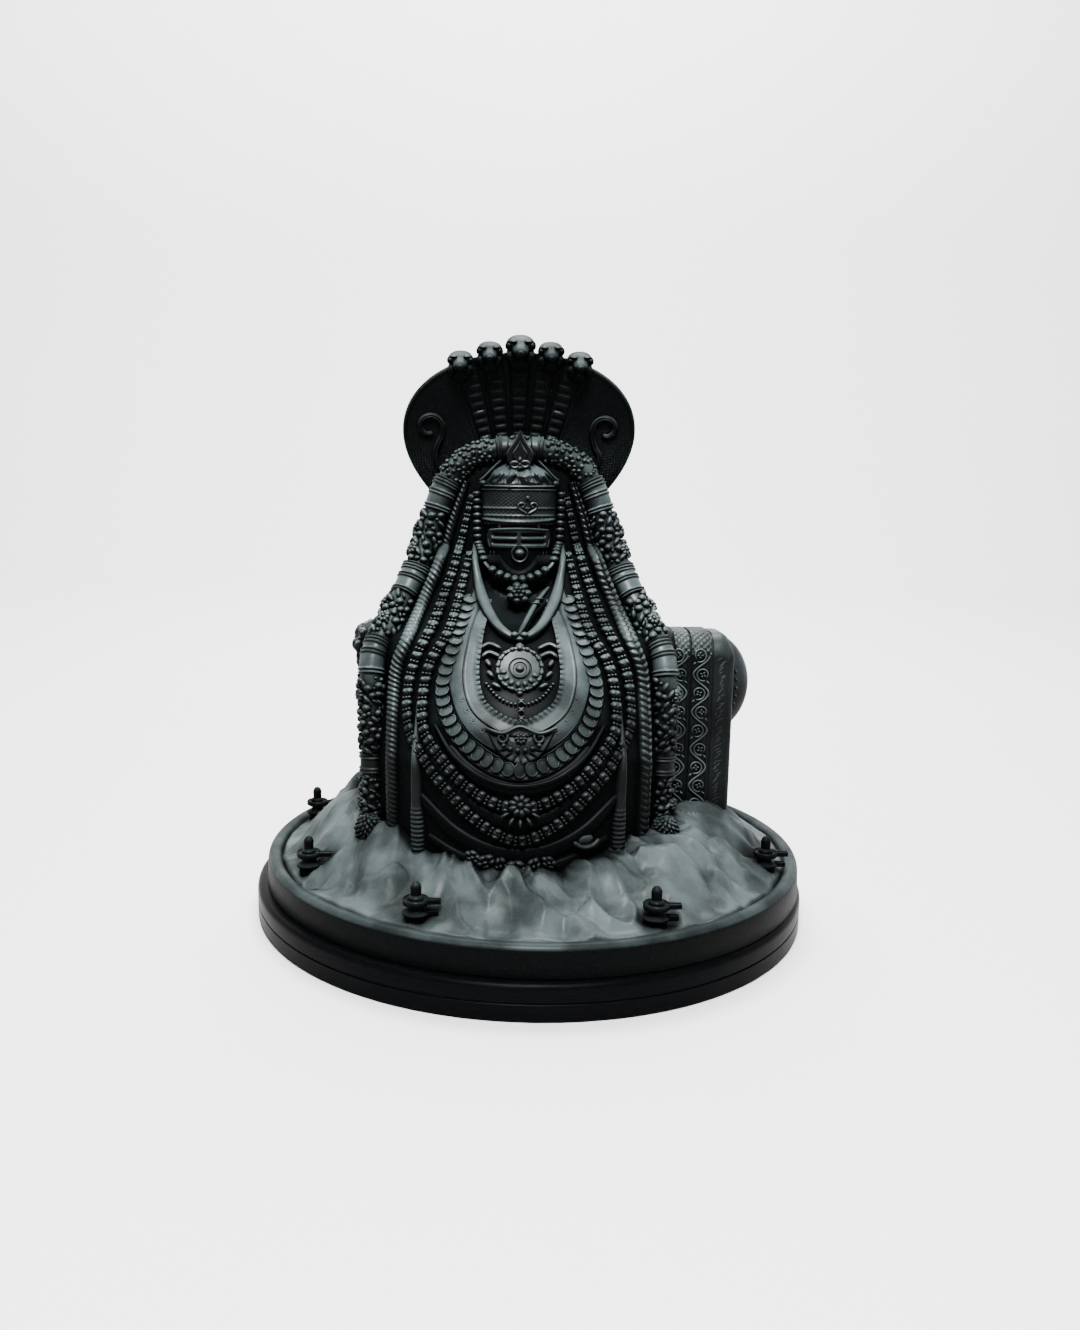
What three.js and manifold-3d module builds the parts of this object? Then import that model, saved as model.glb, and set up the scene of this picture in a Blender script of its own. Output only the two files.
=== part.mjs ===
// A black moulded figure of a dressed Shiva linga: the linga stands on a round pedestal hung with cloth,
// garlands and necklaces, a spout under a brocade cloth runs out to one side, a hood of five cobras rises
// behind, and eight small lingas ring the rocky ground. The casting sits on a separate round plinth.
// Millimetres, +Z up, the front faces -Y, and the origin is the centre of the plinth's underside.
import * as THREE from "three";
import { mergeVertices } from "three/addons/utils/BufferGeometryUtils.js";
import Module from "manifold-3d";

const wasm = await Module();
wasm.setup();

// Plinth
const PLINTH_RADIUS = 75;
const PLINTH_HEIGHT = 9;
const PLINTH_SHOULDER = 1.6; // radius of the rounded upper edge
const SEAM_HEIGHT = 4.4; // fine groove round the wall
const SEAM_WIDTH = 0.6;
const SEAM_DEPTH = 0.35;
const ROUND_STEPS = 40; // facets round the plinth and the casting's base

// Base of the casting
const LEDGE = 1.7; // how far the plinth stands out past the casting
const CASTING_SHIFT = 1; // the casting was set down this far to the right of the plinth's centre
const WALL_HEIGHT = 4.2;
const RIM_SETBACK = 1.1; // the rounded rim stands back from the wall by this much
const RIM_HEIGHT = 3.7;
const RIM_WIDTH = 2.9;
const RIM_DROP = 0.7; // from the rim's top down to the ground inside it

// Ground: rock in soft folds that climbs from the rim to the pedestal's foot
const MOUND_RISE = 12.5;
const MOUND_MARGIN = 4.6; // the slope starts this far outside the pedestal
const FOLD_DEPTH = 0.9;

// Dressed pedestal. Its tables give widths in hundredths of the radius, heights in hundredths of the crown's.
const AXIS_SHIFT = -4.8; // the linga's axis is left of the casting's centre, which leaves room for the spout
const PEDESTAL_RADIUS = 42.4;
const CROWN_HEIGHT = 97.3; // from the pedestal's foot to the top of the cloak behind the linga
const SHOULDER_SHARE = 49.6;
const BODY_STEPS = 30;

// Linga
const LINGA_RADIUS = 11.5;
const LINGA_SHARE = 88.7; // height of the linga's wall, before its domed top
const WRAP_RELIEF = 0.5; // how far the cloth band and the forehead mark stand off the linga

// Spout under its cloth, on the right
const SPOUT_REACH = 58.4; // from the axis to the cloth's end
const SPOUT_TOP_SHARE = 49; // height of the cloth's top
const SPOUT_WIDTH = 19;
const SPOUT_NOSE = 5.8; // the rounded nose stands out past the cloth by this much
const NOSE_ROOT = 6; // and its middle is this far inside the cloth's end
const NOSE_MARGIN = 1.5; // the cloth is wider than the nose by this much on either side
const SPOUT_ROUNDING = 6; // of the cloth where it bends over the top
const SPOUT_CORNER = 1.6; // of its upright corners
const BORDER_WIDTH = 1.1; // raised borders between the cloth's columns of scrollwork
const BORDER_RELIEF = 0.45;

// Cobra hood: it fans up from a focus hidden in the cloak
const HOOD_FOCUS_SHARE = 67.1;
const HOOD_RADIUS = 56.3;
const HOOD_SPREAD = 54; // degrees from the middle to either side
const HOOD_THICKNESS = 4.2;
const HOOD_BACK = 8; // how far behind the axis the hood's face stands
const HOOD_LEAN = 7; // how far its edge curls forward
const BELT_RELIEF = 1;
const BELT_PITCH = 7.5; // degrees from one cobra's belt to the next
const HEAD_PITCH = 8.2; // and from one head to the next
const HEAD_RISE = 1.8; // the middle head stands this far out past the hood's edge
const HEAD_FALL = 1.1; // and each head after it this much less far
const HEAD_WIDTH = 6.9;

// Small lingas round the edge of the ground
const SMALL_LINGA_HEIGHT = 8.2;
const SMALL_LINGA_INSET = 4.3; // from the rim's inner side to the small lingas' centres
const SMALL_LINGA_BEARINGS = [-104, -63, -26, 24, 68, 121, 163, -150]; // degrees from the front

// Flowers, ropes and jewels
const GARLAND_RADIUS = 3.7;
const STRAND_STANDOFF = 1; // a strand's middle stands this far off the cloth, more or less
const STRAND_SINK = 0.6; // and its underside sinks this far into it
const ROPE_WIDTH = 3.8;
const ROPE_THICKNESS = 3.6;
const BEAD_WIDTH = 3.2;
const COIN_WIDTH = 4.6;
const ROLL_WIDTH = 4.4;
const CRESCENT_WIDTH = 3.4;
const MEDALLION_RADIUS = 5.6;
const PENDANT_RADIUS = 5;
const LEAF_HEIGHT = 9.6;

const BLACK_PAINT = { color: 0x1b201f, roughness: 0.45, metalness: 0.1 };
const PLINTH_PAINT = { color: 0x0a0b0c, roughness: 0.35, metalness: 0 };

// Pedestal: [height, radius at the front, at the sides, at the back]
const PEDESTAL_PROFILE = [
  [-11, 109.7, 100, 100],
  [20, 112, 100, 100],
  [30.1, 102.6, 100, 100.5],
  [38.3, 89.6, 100.5, 101.4],
  [45.5, 75.5, 104.2, 102.6],
  [SHOULDER_SHARE, 67.2, 100.9, 100.2],
  [51.7, 62.5, 90.8, 94.3],
  [56.8, 48.3, 79.7, 86.1],
  [63, 33, 70.8, 75.5],
  [70.6, 20, 59, 59],
];

// Cloak behind the linga: [height, half width, depth in front, depth behind]
const CLOAK_PROFILE = [
  [47.6, 84.9, 33, 84.9],
  [56.8, 78.8, 23.6, 80.2],
  [63, 69.6, 20, 70.8],
  [70.2, 61.3, 17.7, 62.5],
  [78.4, 54.2, 16.5, 54.2],
  [86.6, 47.6, 15.3, 46],
  [92.8, 38.9, 14.2, 36.6],
  [96.9, 27.1, 11.8, 25.9],
  [100, 11.8, 4.7, 11.8],
];

// Garland from the crown down one side: [degrees from the front, distance from the axis, height]
const GARLAND_PATH = [
  [0, 10.6, 99.3],
  [48.1, 15.5, 99.1],
  [68.2, 25.4, 98],
  [74.8, 34.2, 96],
  [77.5, 41.5, 92.7],
  [77.5, 49, 86.1],
  [76, 58.3, 74.4],
  [70.4, 70.3, 63],
  [65.1, 85.3, 53.6],
  [60.1, 99.3, 45.8],
  [57.5, 104.6, 39.1],
  [57.1, 105.1, 30.3],
  [57, 104.9, -3.8],
];
// How full the garland is: [share of the way down, share of its radius]
const GARLAND_FULLNESS = [[0, 0.8], [0.2, 1.02], [0.42, 1.1], [0.6, 0.98], [0.7, 0.86], [1, 0.84]];
// Its bound places: [share of the way down, length]
const GARLAND_SLEEVES = [[0.213, 9.2], [0.416, 9.6], [0.611, 9.8], [0.836, 5.6]];

// Strands that lie on the front, from the top down one side: [half width, height]
const ROPE = [
  [32.1, 89.7], [40.3, 79.9], [47.6, 69.2], [56.4, 58.9],
  [66, 48.8], [71.7, 41.4], [73.1, 28.9], [72.6, -2.8],
];
const OUTER_BEADS = [
  [29.2, 85.5], [36.8, 71.1], [48.6, 54.3], [59.2, 44.9], [63.4, 36],
  [61.5, 27.6], [51.9, 21.2], [39.2, 15], [23.6, 8.2], [0, 3.4],
];
const INNER_BEADS = [
  [30.4, 69.5], [39.6, 52.6], [50.2, 44.3], [54, 36],
  [53.2, 28.6], [44.6, 23.1], [30.4, 17.3], [14.2, 13], [0, 12],
];
const COIN_BAND = [[36.8, 49.6], [43.4, 39.5], [40.3, 32.4], [30.9, 26.8], [16.5, 22.4], [0, 20.7]];
const INNER_BAND = [[25.5, 49.6], [26.9, 41.7], [21.5, 35.9], [11.1, 32.6], [0, 31.4]];
const CRESCENT = [[27.8, 73.5], [26.4, 66.6], [22.2, 59], [15.6, 53.8], [8.3, 50.8], [0, 49.6]];
const COLLAR = [[25.7, 86.6], [25.5, 79.4], [24.5, 72.3], [20.8, 68.1], [13, 65.3], [0, 63.6]];
const ROLL = [[58.3, 34], [57.6, 15], [56.8, -4]];

const radians = THREE.MathUtils.degToRad;
const clamp = THREE.MathUtils.clamp;
const lerp = THREE.MathUtils.lerp;
const wide = (share) => (share * PEDESTAL_RADIUS) / 100;
const tall = (share) => (share * CROWN_HEIGHT) / 100;
const vector = (x, y, z) => new THREE.Vector3(x, y, z);

const castingRadius = PLINTH_RADIUS - LEDGE;
const rimTop = WALL_HEIGHT + RIM_HEIGHT;
const groundEdge = castingRadius - RIM_SETBACK - RIM_WIDTH; // radius at which the ground meets the rim
const moundFoot = PEDESTAL_RADIUS + MOUND_MARGIN;
const footHeight = rimTop - RIM_DROP + MOUND_RISE;

// The value in a column at a place in a table's first column, straight between rows.
function tableAt(table, place, column) {
  let upper = table.findIndex((row) => place <= row[0]);
  if (upper < 0) upper = table.length - 1;
  const [low, high] = [table[Math.max(upper - 1, 0)], table[upper]];
  const along = high[0] > low[0] ? clamp((place - low[0]) / (high[0] - low[0]), 0, 1) : 0;
  return lerp(low[column], high[column], along);
}

const at = (table, z, column) => wide(tableAt(table, (100 * z) / CROWN_HEIGHT, column));

// A solid from a closed geometry, turned face out if need be.
function solid(geometry) {
  const bare = new THREE.BufferGeometry().setAttribute("position", geometry.getAttribute("position"));
  if (geometry.index) bare.setIndex(geometry.index);
  const merged = mergeVertices(bare, 1e-4);
  const vertProperties = new Float32Array(merged.attributes.position.array);
  const triVerts = new Uint32Array(merged.index.array);
  const made = new wasm.Manifold(new wasm.Mesh({ numProp: 3, vertProperties, triVerts }));
  if (made.volume() > 0) return made;
  const turned = triVerts.map((_, i) => triVerts[i + 2 - 2 * (i % 3)]);
  return new wasm.Manifold(new wasm.Mesh({ numProp: 3, vertProperties, triVerts: turned }));
}

const join = (solids) => solids.reduce((sum, next) => sum.add(next));

// A closed solid through rings of equal count, with a fan at either end.
function loft(rings) {
  const count = rings[0].length;
  const points = rings.flat();
  const faces = [];
  for (let start = 0; start + count < points.length; start += count) {
    for (let i = 0; i < count; i++) {
      const a = start + i;
      const b = start + ((i + 1) % count);
      faces.push(a, b, b + count, a, b + count, a + count);
    }
  }
  for (const [ring, first] of [[rings[0], 0], [rings.at(-1), (rings.length - 1) * count]]) {
    points.push(ring.reduce((sum, p) => sum.add(p), vector(0, 0, 0)).divideScalar(count));
    for (let i = 0; i < count; i++) {
      const edge = [first + i, first + ((i + 1) % count)];
      faces.push(points.length - 1, ...(first ? edge : edge.reverse()));
    }
  }
  return solid(new THREE.BufferGeometry().setFromPoints(points).setIndex(faces));
}

// Points all the way round, from a function of the angle in radians from the front.
const around = (steps, pointAt) => (
  Array.from({ length: steps }, (_, i) => pointAt((2 * Math.PI * i) / steps))
);
const polar = (r, turn, z) => vector(r * Math.sin(turn), -r * Math.cos(turn), z);

// A turned solid from [radius, height] points that start and end on the axis.
function lathe(profile, steps) {
  const outline = profile.map(([r, z]) => new THREE.Vector2(r, z));
  return solid(new THREE.LatheGeometry(outline, steps).rotateX(Math.PI / 2));
}

// A strand along points. Its half width and half thickness are functions of the share of the way along.
function strand(points, normalAt, halfWidth, halfThickness, sides, steps) {
  const curve = new THREE.CatmullRomCurve3(points, false, "centripetal");
  const rings = [];
  for (let s = 0; s <= steps; s++) {
    const share = s / steps;
    const middle = curve.getPointAt(share);
    const along = curve.getTangentAt(share);
    const across = vector(0, 0, 0).crossVectors(along, normalAt(middle)).normalize();
    const out = vector(0, 0, 0).crossVectors(across, along).normalize();
    rings.push(Array.from({ length: sides }, (_, i) => {
      const turn = (2 * Math.PI * (i + 0.5)) / sides;
      const point = middle.clone().addScaledVector(across, Math.cos(turn) * halfWidth(share));
      return point.addScaledVector(out, Math.sin(turn) * halfThickness(share));
    }));
  }
  return loft(rings);
}

const same = (value) => () => value;

// Both halves of a symmetrical path, from points that run down one side to the middle.
const bothSides = (side) => [...side, ...side.slice(0, -1).reverse().map((p) => vector(-p.x, p.y, p.z))];

function pedestalRadius(turn, z) {
  const sideways = Math.sin(turn) ** 2;
  const facing = at(PEDESTAL_PROFILE, z, Math.cos(turn) > 0 ? 1 : 3);
  return lerp(facing, at(PEDESTAL_PROFILE, z, 2), sideways);
}

function cloakPoint(turn, z) {
  const inFront = Math.cos(turn) > 0;
  const depth = at(CLOAK_PROFILE, z, inFront ? 2 : 3);
  const roundness = inFront ? 0.6 : 1;
  const y = -Math.sign(Math.cos(turn)) * Math.abs(Math.cos(turn)) ** roundness * depth;
  return vector(Math.sin(turn) * at(CLOAK_PROFILE, z, 1), y, z);
}

// How far in front of the axis the dressed surface stands at x and z.
function frontDepth(x, z) {
  let turn = 0;
  for (let tries = 0; tries < 12; tries++) turn = Math.asin(clamp(x / pedestalRadius(turn, z), -0.98, 0.98));
  const slope = z < tall(PEDESTAL_PROFILE.at(-1)[0]) ? pedestalRadius(turn, z) * Math.cos(turn) : 0;
  const across = clamp(Math.abs(x) / at(CLOAK_PROFILE, z, 1), 0, 1);
  const cloak = z > tall(CLOAK_PROFILE[0][0]) ? at(CLOAK_PROFILE, z, 2) * (1 - across ** 2) ** 0.3 : 0;
  const linga = z < tall(LINGA_SHARE) ? Math.sqrt(Math.max(LINGA_RADIUS ** 2 - x ** 2, 0)) : 0;
  return Math.max(slope, cloak, linga);
}

const onFront = (x, z, proud) => vector(x, -frontDepth(x, z) - proud, z);

function frontNormal(p) {
  const step = 1;
  const dx = frontDepth(p.x + step, p.z) - frontDepth(p.x - step, p.z);
  const dz = frontDepth(p.x, p.z + step) - frontDepth(p.x, p.z - step);
  return vector(-dx, -2 * step, -dz).normalize();
}

// Points of a strand laid on the front, evenly spaced along its path.
function laid(path, proud) {
  const flat = new THREE.SplineCurve(path.map(([x, z]) => new THREE.Vector2(wide(x), tall(z))));
  return flat.getSpacedPoints(16).map((p) => onFront(p.x, p.y, proud));
}

// A strand round the neck. Its standoff is in shares of the usual one.
function necklace(path, width, standoff, sides, steps) {
  const proud = standoff * STRAND_STANDOFF;
  const taper = (share) => (width / 2) * (0.7 + 0.3 * Math.sin(Math.PI * share));
  return strand(bothSides(laid(path, proud)), frontNormal, taper, same(proud + STRAND_SINK), sides, steps);
}

// Round plinth with a rounded shoulder and a fine groove.
function makePlinth() {
  const wall = [
    [PLINTH_RADIUS - SEAM_DEPTH, 0],
    [PLINTH_RADIUS, SEAM_DEPTH],
    [PLINTH_RADIUS, SEAM_HEIGHT - SEAM_WIDTH / 2],
    [PLINTH_RADIUS - SEAM_DEPTH, SEAM_HEIGHT],
    [PLINTH_RADIUS, SEAM_HEIGHT + SEAM_WIDTH / 2],
  ];
  const shoulder = [0, 45, 90].map(radians).map((turn) => [
    PLINTH_RADIUS - PLINTH_SHOULDER * (1 - Math.cos(turn)),
    PLINTH_HEIGHT - PLINTH_SHOULDER * (1 - Math.sin(turn)),
  ]);
  return lathe([[0, 0], ...wall, ...shoulder, [0, PLINTH_HEIGHT]], ROUND_STEPS);
}

// Height of the ground at a place given from the casting's centre. It is lower in front.
function groundHeight(r, turn) {
  const share = clamp((groundEdge - r) / (groundEdge - moundFoot), 0, 1);
  const rise = MOUND_RISE * (1.35 - 0.55 * Math.max(Math.cos(turn), 0) ** 2) * share ** 2 * (3 - 2 * share);
  const folds = Math.sin(9 * turn + 3 * share) + 0.7 * Math.sin(16 * turn - 5 * share + 1.3);
  return rimTop - RIM_DROP + rise + FOLD_DEPTH * folds * Math.sin(Math.PI * share);
}

// The casting's drum, its rounded rim and the ground inside it.
function makeGround() {
  const circle = (radius, z) => around(ROUND_STEPS, (turn) => polar(radius, turn, z));
  const rings = [circle(castingRadius, 0), circle(castingRadius, WALL_HEIGHT)];
  for (const turn of [0, 45, 90, 135].map(radians)) {
    const foot = Math.cos(turn) > 0 ? WALL_HEIGHT + 0.2 : rimTop - RIM_DROP;
    const radius = groundEdge + (RIM_WIDTH / 2) * (1 + Math.cos(turn));
    rings.push(circle(radius, lerp(foot, rimTop, Math.sin(turn))));
  }
  for (const share of [0, 0.2, 0.4, 0.6, 0.8, 1.1]) {
    const radius = lerp(groundEdge, moundFoot, share);
    rings.push(around(ROUND_STEPS, (turn) => polar(radius, turn, groundHeight(radius, turn))));
  }
  return loft(rings);
}

// Cloth-hung pedestal with the slope of drapery in front.
function makePedestal() {
  return loft(PEDESTAL_PROFILE.map(([share]) => around(BODY_STEPS, (turn) => {
    const z = tall(share);
    return polar(pedestalRadius(turn, z), turn, z);
  })));
}

function makeCloak() {
  return loft(CLOAK_PROFILE.map(([share]) => around(16, (turn) => cloakPoint(turn, tall(share)))));
}

// The linga and, wrapped round its front, the band of cloth, the forehead mark and the round eye.
function makeLinga() {
  const foot = tall(SHOULDER_SHARE - 10);
  const top = tall(LINGA_SHARE);
  const dome = LINGA_RADIUS * 0.56;
  const shoulders = [30, 60].map(radians).map((turn) => [
    LINGA_RADIUS * Math.cos(turn),
    top + dome * Math.sin(turn),
  ]);
  const outline = [[0, foot], [LINGA_RADIUS, foot], [LINGA_RADIUS, top], ...shoulders, [0, top + dome]];
  const wrap = (low, high, halfTurn) => loft([low, high].map((share) => {
    const turns = [-1, -0.6, -0.2, 0.2, 0.6, 1].map((side) => side * radians(halfTurn));
    const outer = turns.map((turn) => polar(LINGA_RADIUS + WRAP_RELIEF, turn, tall(share)));
    return [...outer, polar(LINGA_RADIUS * 0.5, 0, tall(share))];
  }));
  const eye = solid(new THREE.SphereGeometry(LINGA_RADIUS * 0.18, 8, 5));
  const face = [wrap(79.4, 88.3, 50), wrap(73.1, 77, 46), eye.translate([0, -LINGA_RADIUS, tall(70.9)])];
  return join([lathe(outline, 16), ...face]);
}

// Flame-shaped leaf over the linga.
function makeLeaf() {
  const half = LEAF_HEIGHT * 0.37;
  const outline = new THREE.Shape();
  outline.moveTo(0, LEAF_HEIGHT);
  outline.quadraticCurveTo(half * 1.3, LEAF_HEIGHT * 0.45, half, LEAF_HEIGHT * 0.15);
  outline.quadraticCurveTo(half * 0.6, -LEAF_HEIGHT * 0.1, 0, -LEAF_HEIGHT * 0.1);
  outline.quadraticCurveTo(-half * 0.6, -LEAF_HEIGHT * 0.1, -half, LEAF_HEIGHT * 0.15);
  outline.quadraticCurveTo(-half * 1.3, LEAF_HEIGHT * 0.45, 0, LEAF_HEIGHT);
  const leaf = new THREE.ExtrudeGeometry(outline, { depth: wide(17), bevelEnabled: false, curveSegments: 3 });
  return solid(leaf.rotateX(Math.PI / 2)).translate([0, -wide(8), tall(93.8)]);
}

// Spout under a straight-hung cloth with raised borders, and its rounded nose.
function makeSpout() {
  const half = SPOUT_WIDTH / 2;
  const top = tall(SPOUT_TOP_SHARE);
  const foot = tall(PEDESTAL_PROFILE[0][0]);
  const corners = [[1, 1], [-1, 1], [-1, -1], [1, -1]];
  const ring = ([z, inset]) => corners.flatMap(([end, side], quarter) => [0, 45, 90].map((step) => {
    const turn = radians(90 * quarter + step);
    const x = SPOUT_REACH / 2 + end * (SPOUT_REACH / 2 - inset - SPOUT_CORNER);
    const y = side * (half - inset - SPOUT_CORNER);
    return vector(x + SPOUT_CORNER * Math.cos(turn), y + SPOUT_CORNER * Math.sin(turn), z);
  }));
  const bend = [0, 30, 60, 90].map(radians).map((turn) => [
    top - SPOUT_ROUNDING * (1 - Math.sin(turn)),
    SPOUT_ROUNDING * (1 - Math.cos(turn)),
  ]);
  const cloth = loft([[foot, 0], ...bend].map(ring));
  const borderTop = top - SPOUT_ROUNDING;
  const borders = [0.7, 0.8, 0.89].map((share) => (
    solid(new THREE.BoxGeometry(BORDER_WIDTH, SPOUT_WIDTH + 2 * BORDER_RELIEF, borderTop - foot))
      .translate([SPOUT_REACH * share, 0, (borderTop + foot) / 2])
  ));
  const noseSize = [SPOUT_NOSE + NOSE_ROOT, half - NOSE_MARGIN, half * 1.5];
  const nose = solid(new THREE.SphereGeometry(1, 10, 8).scale(...noseSize));
  return join([cloth, ...borders, nose.translate([SPOUT_REACH - NOSE_ROOT, 0, top - noseSize[2]])]);
}

const hoodReach = (degrees) => HOOD_RADIUS * (1 - Math.abs(degrees / HOOD_SPREAD) ** 4) ** 0.4;

// A point of the hood at an angle from the middle, a distance from the focus and a depth behind its face.
function hoodPoint(degrees, r, depth) {
  const turn = radians(degrees);
  const curl = HOOD_LEAN * (r / HOOD_RADIUS) ** 4 + 2 * (degrees / HOOD_SPREAD) ** 2;
  return vector(r * Math.sin(turn), HOOD_BACK - curl + depth, tall(HOOD_FOCUS_SHARE) + r * Math.cos(turn));
}

// The hood, with a raised belt running up to each head.
function makeHood() {
  const columns = [];
  for (let k = -2; k <= 2; k++) {
    for (const [offset, relief] of [[-3, 0], [-2.3, 1], [2.3, 1], [3, 0]]) {
      columns.push([BELT_PITCH * k + offset, BELT_RELIEF * relief]);
    }
  }
  const beltsEnd = columns.at(-1)[0];
  for (const share of [0.15, 0.32, 0.5, 0.66, 0.8, 0.9, 0.97]) {
    const degrees = lerp(beltsEnd, HOOD_SPREAD, share);
    columns.push([degrees, 0]);
    columns.unshift([-degrees, 0]);
  }
  const root = HOOD_RADIUS * 0.3;
  return loft(columns.map(([degrees, relief]) => {
    const reach = Math.max(hoodReach(degrees), root * 1.1);
    const face = [0, 0.4, 0.7, 0.9, 1].map((share) => [lerp(root, reach, share), -relief]);
    const back = [
      [reach, HOOD_THICKNESS * 0.5],
      [lerp(root, reach, 0.85), HOOD_THICKNESS],
      [root, HOOD_THICKNESS],
    ];
    return [...face, ...back].map(([r, depth]) => hoodPoint(degrees, r, depth));
  }));
}

// One cobra's head: a flattened wedge from the neck to a blunt snout that looks forward and a little down.
// Its sections are [place along the head, half width, half height, lift], all in shares of its width.
function makeHead(width) {
  const sections = [
    [0.54, 0.3, 0.3, 0],
    [0.2, 0.5, 0.36, 0.04],
    [-0.27, 0.5, 0.3, 0],
    [-0.6, 0.34, 0.24, -0.08],
    [-0.78, 0.2, 0.13, -0.13],
  ];
  const rings = sections.map(([y, halfWidth, halfHeight, lift]) => around(6, (turn) => {
    const corner = turn + Math.PI / 6;
    const height = lift + halfHeight * Math.cos(corner);
    return vector(halfWidth * Math.sin(corner), y, height).multiplyScalar(width);
  }));
  return loft(rings).rotate([14, 0, 0]);
}

function makeCobras() {
  const heads = [-2, -1, 0, 1, 2].map((k) => {
    const spot = hoodPoint(HEAD_PITCH * k, HOOD_RADIUS + HEAD_RISE - HEAD_FALL * Math.abs(k), 0);
    return makeHead(HEAD_WIDTH * (k ? 1 : 1.14)).translate(spot.toArray());
  });
  return join([makeHood(), ...heads]);
}

// Thick flower garland over the crown and down both sides, bound tight in places, with a bun at either end.
function makeGarland() {
  const side = GARLAND_PATH.map(([degrees, r, z]) => polar(wide(r), radians(degrees), tall(z)));
  const outward = (p) => vector(p.x, p.y - wide(1), clamp(p.z - tall(72), 0, tall(20))).normalize();
  const length = new THREE.CatmullRomCurve3(side).getLength();
  const fullness = (share) => {
    const down = Math.abs(2 * share - 1);
    const bound = GARLAND_SLEEVES.some(([middle, span]) => Math.abs(down - middle) * length < span / 2);
    return GARLAND_RADIUS * tableAt(GARLAND_FULLNESS, down, 1) * (bound ? 0.9 : 1);
  };
  const rope = strand(bothSides(side.reverse()), outward, fullness, fullness, 6, 40);
  const foot = side[0];
  const buns = [-1, 1].map((sign) => (
    solid(new THREE.SphereGeometry(GARLAND_RADIUS * 1.1, 8, 6))
      .translate([sign * (foot.x + wide(6)), foot.y - wide(6), foot.z + wide(4)])
  ));
  return join([rope, ...buns]);
}

function makeRopesAndRolls() {
  const ropeHalf = (share) => ROPE_WIDTH * (0.38 + 0.12 * share);
  const rollHalf = (share) => ROLL_WIDTH * (0.15 + 0.35 * share);
  return join([-1, 1].flatMap((sign) => {
    const mirror = (p) => vector(sign * p.x, p.y, p.z);
    const rope = laid(ROPE, STRAND_STANDOFF * 0.7).map(mirror);
    const roll = laid(ROLL, STRAND_STANDOFF * 0.3).map(mirror);
    return [
      strand(rope, frontNormal, ropeHalf, same(ROPE_THICKNESS / 2), 5, 10),
      strand(roll, frontNormal, rollHalf, same(ROLL_WIDTH * 0.39), 4, 4),
    ];
  }));
}

function makeNecklaces() {
  const horns = bothSides(laid(CRESCENT, STRAND_STANDOFF * 1.2));
  const taper = (share) => (CRESCENT_WIDTH / 2) * (0.25 + 0.75 * Math.sin(Math.PI * share) ** 0.7);
  return join([
    necklace(COLLAR, BEAD_WIDTH * 0.7, 0.9, 4, 12),
    necklace(OUTER_BEADS, BEAD_WIDTH, 1, 5, 18),
    necklace(INNER_BEADS, BEAD_WIDTH, 1.1, 5, 16),
    necklace(COIN_BAND, COIN_WIDTH, 0.8, 4, 12),
    necklace(INNER_BAND, COIN_WIDTH * 0.8, 0.8, 4, 10),
    strand(horns, frontNormal, taper, same(CRESCENT_WIDTH * 0.38), 5, 12),
  ]);
}

// A round boss that stands square off the middle of the front, as high off it as a share of its radius.
function makeBoss(radius, heightShare, share) {
  const depth = radius * heightShare;
  const spot = onFront(0, tall(share), 0);
  const facing = new THREE.Quaternion().setFromUnitVectors(vector(0, 1, 0), frontNormal(spot));
  const geometry = new THREE.CylinderGeometry(radius * 0.8, radius, depth * 2, 12).applyQuaternion(facing);
  return solid(geometry).translate(spot.toArray());
}

function makePendants() {
  return join([
    makeBoss(MEDALLION_RADIUS, 0.4, 41.4),
    makeBoss(PENDANT_RADIUS, 0.4, 26.6),
    makeBoss(MEDALLION_RADIUS * 0.6, 0.7, 11.1),
    makeBoss(MEDALLION_RADIUS * 0.45, 1, 61),
  ]);
}

// A small linga on its own round pedestal with a spout to the right. Its profile is in shares of its height.
function makeSmallLinga() {
  const h = SMALL_LINGA_HEIGHT;
  const profile = [
    [0, -0.3], [0.38, -0.3], [0.3, 0.1], [0.27, 0.24], [0.41, 0.34],
    [0.41, 0.54], [0.15, 0.56], [0.14, 0.88], [0, 1],
  ];
  const body = lathe(profile.map(([r, z]) => [r * h, z * h]), 7);
  const spout = solid(new THREE.BoxGeometry(0.44 * h, 0.2 * h, 0.13 * h)).translate([0.5 * h, 0, 0.46 * h]);
  return body.add(spout);
}

function makeSmallLingas() {
  const ring = groundEdge - SMALL_LINGA_INSET;
  return join(SMALL_LINGA_BEARINGS.map((bearing) => {
    const spot = polar(ring, radians(bearing), groundHeight(ring, radians(bearing)));
    return makeSmallLinga().translate(spot.toArray());
  }));
}

// The whole casting as one solid. A pocket sealed between overlapping strands is filled, as in the cast.
function makeFigure() {
  const dressed = join([
    makePedestal(),
    makeCloak(),
    makeLinga(),
    makeLeaf(),
    makeSpout(),
    makeCobras(),
    makeGarland(),
    makeRopesAndRolls(),
    makeNecklaces(),
    makePendants(),
  ]).translate([AXIS_SHIFT, 0, footHeight]);
  const whole = join([makeGround(), dressed, makeSmallLingas()]);
  return whole.decompose().sort((a, b) => b.volume() - a.volume())[0];
}

function mesh(name, made, paint) {
  const out = made.getMesh();
  const geometry = new THREE.BufferGeometry();
  geometry.setAttribute("position", new THREE.BufferAttribute(new Float32Array(out.vertProperties), 3));
  geometry.setIndex(new THREE.BufferAttribute(new Uint32Array(out.triVerts), 1));
  geometry.computeVertexNormals();
  const part = new THREE.Mesh(geometry, new THREE.MeshStandardMaterial(paint));
  part.name = name;
  return part;
}

const plinth = mesh("plinth", makePlinth(), PLINTH_PAINT);
const figure = mesh("figure", makeFigure(), BLACK_PAINT);
figure.position.set(CASTING_SHIFT, 0, PLINTH_HEIGHT);

const object = new THREE.Group();
object.add(plinth, figure);
export default object;
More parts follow.
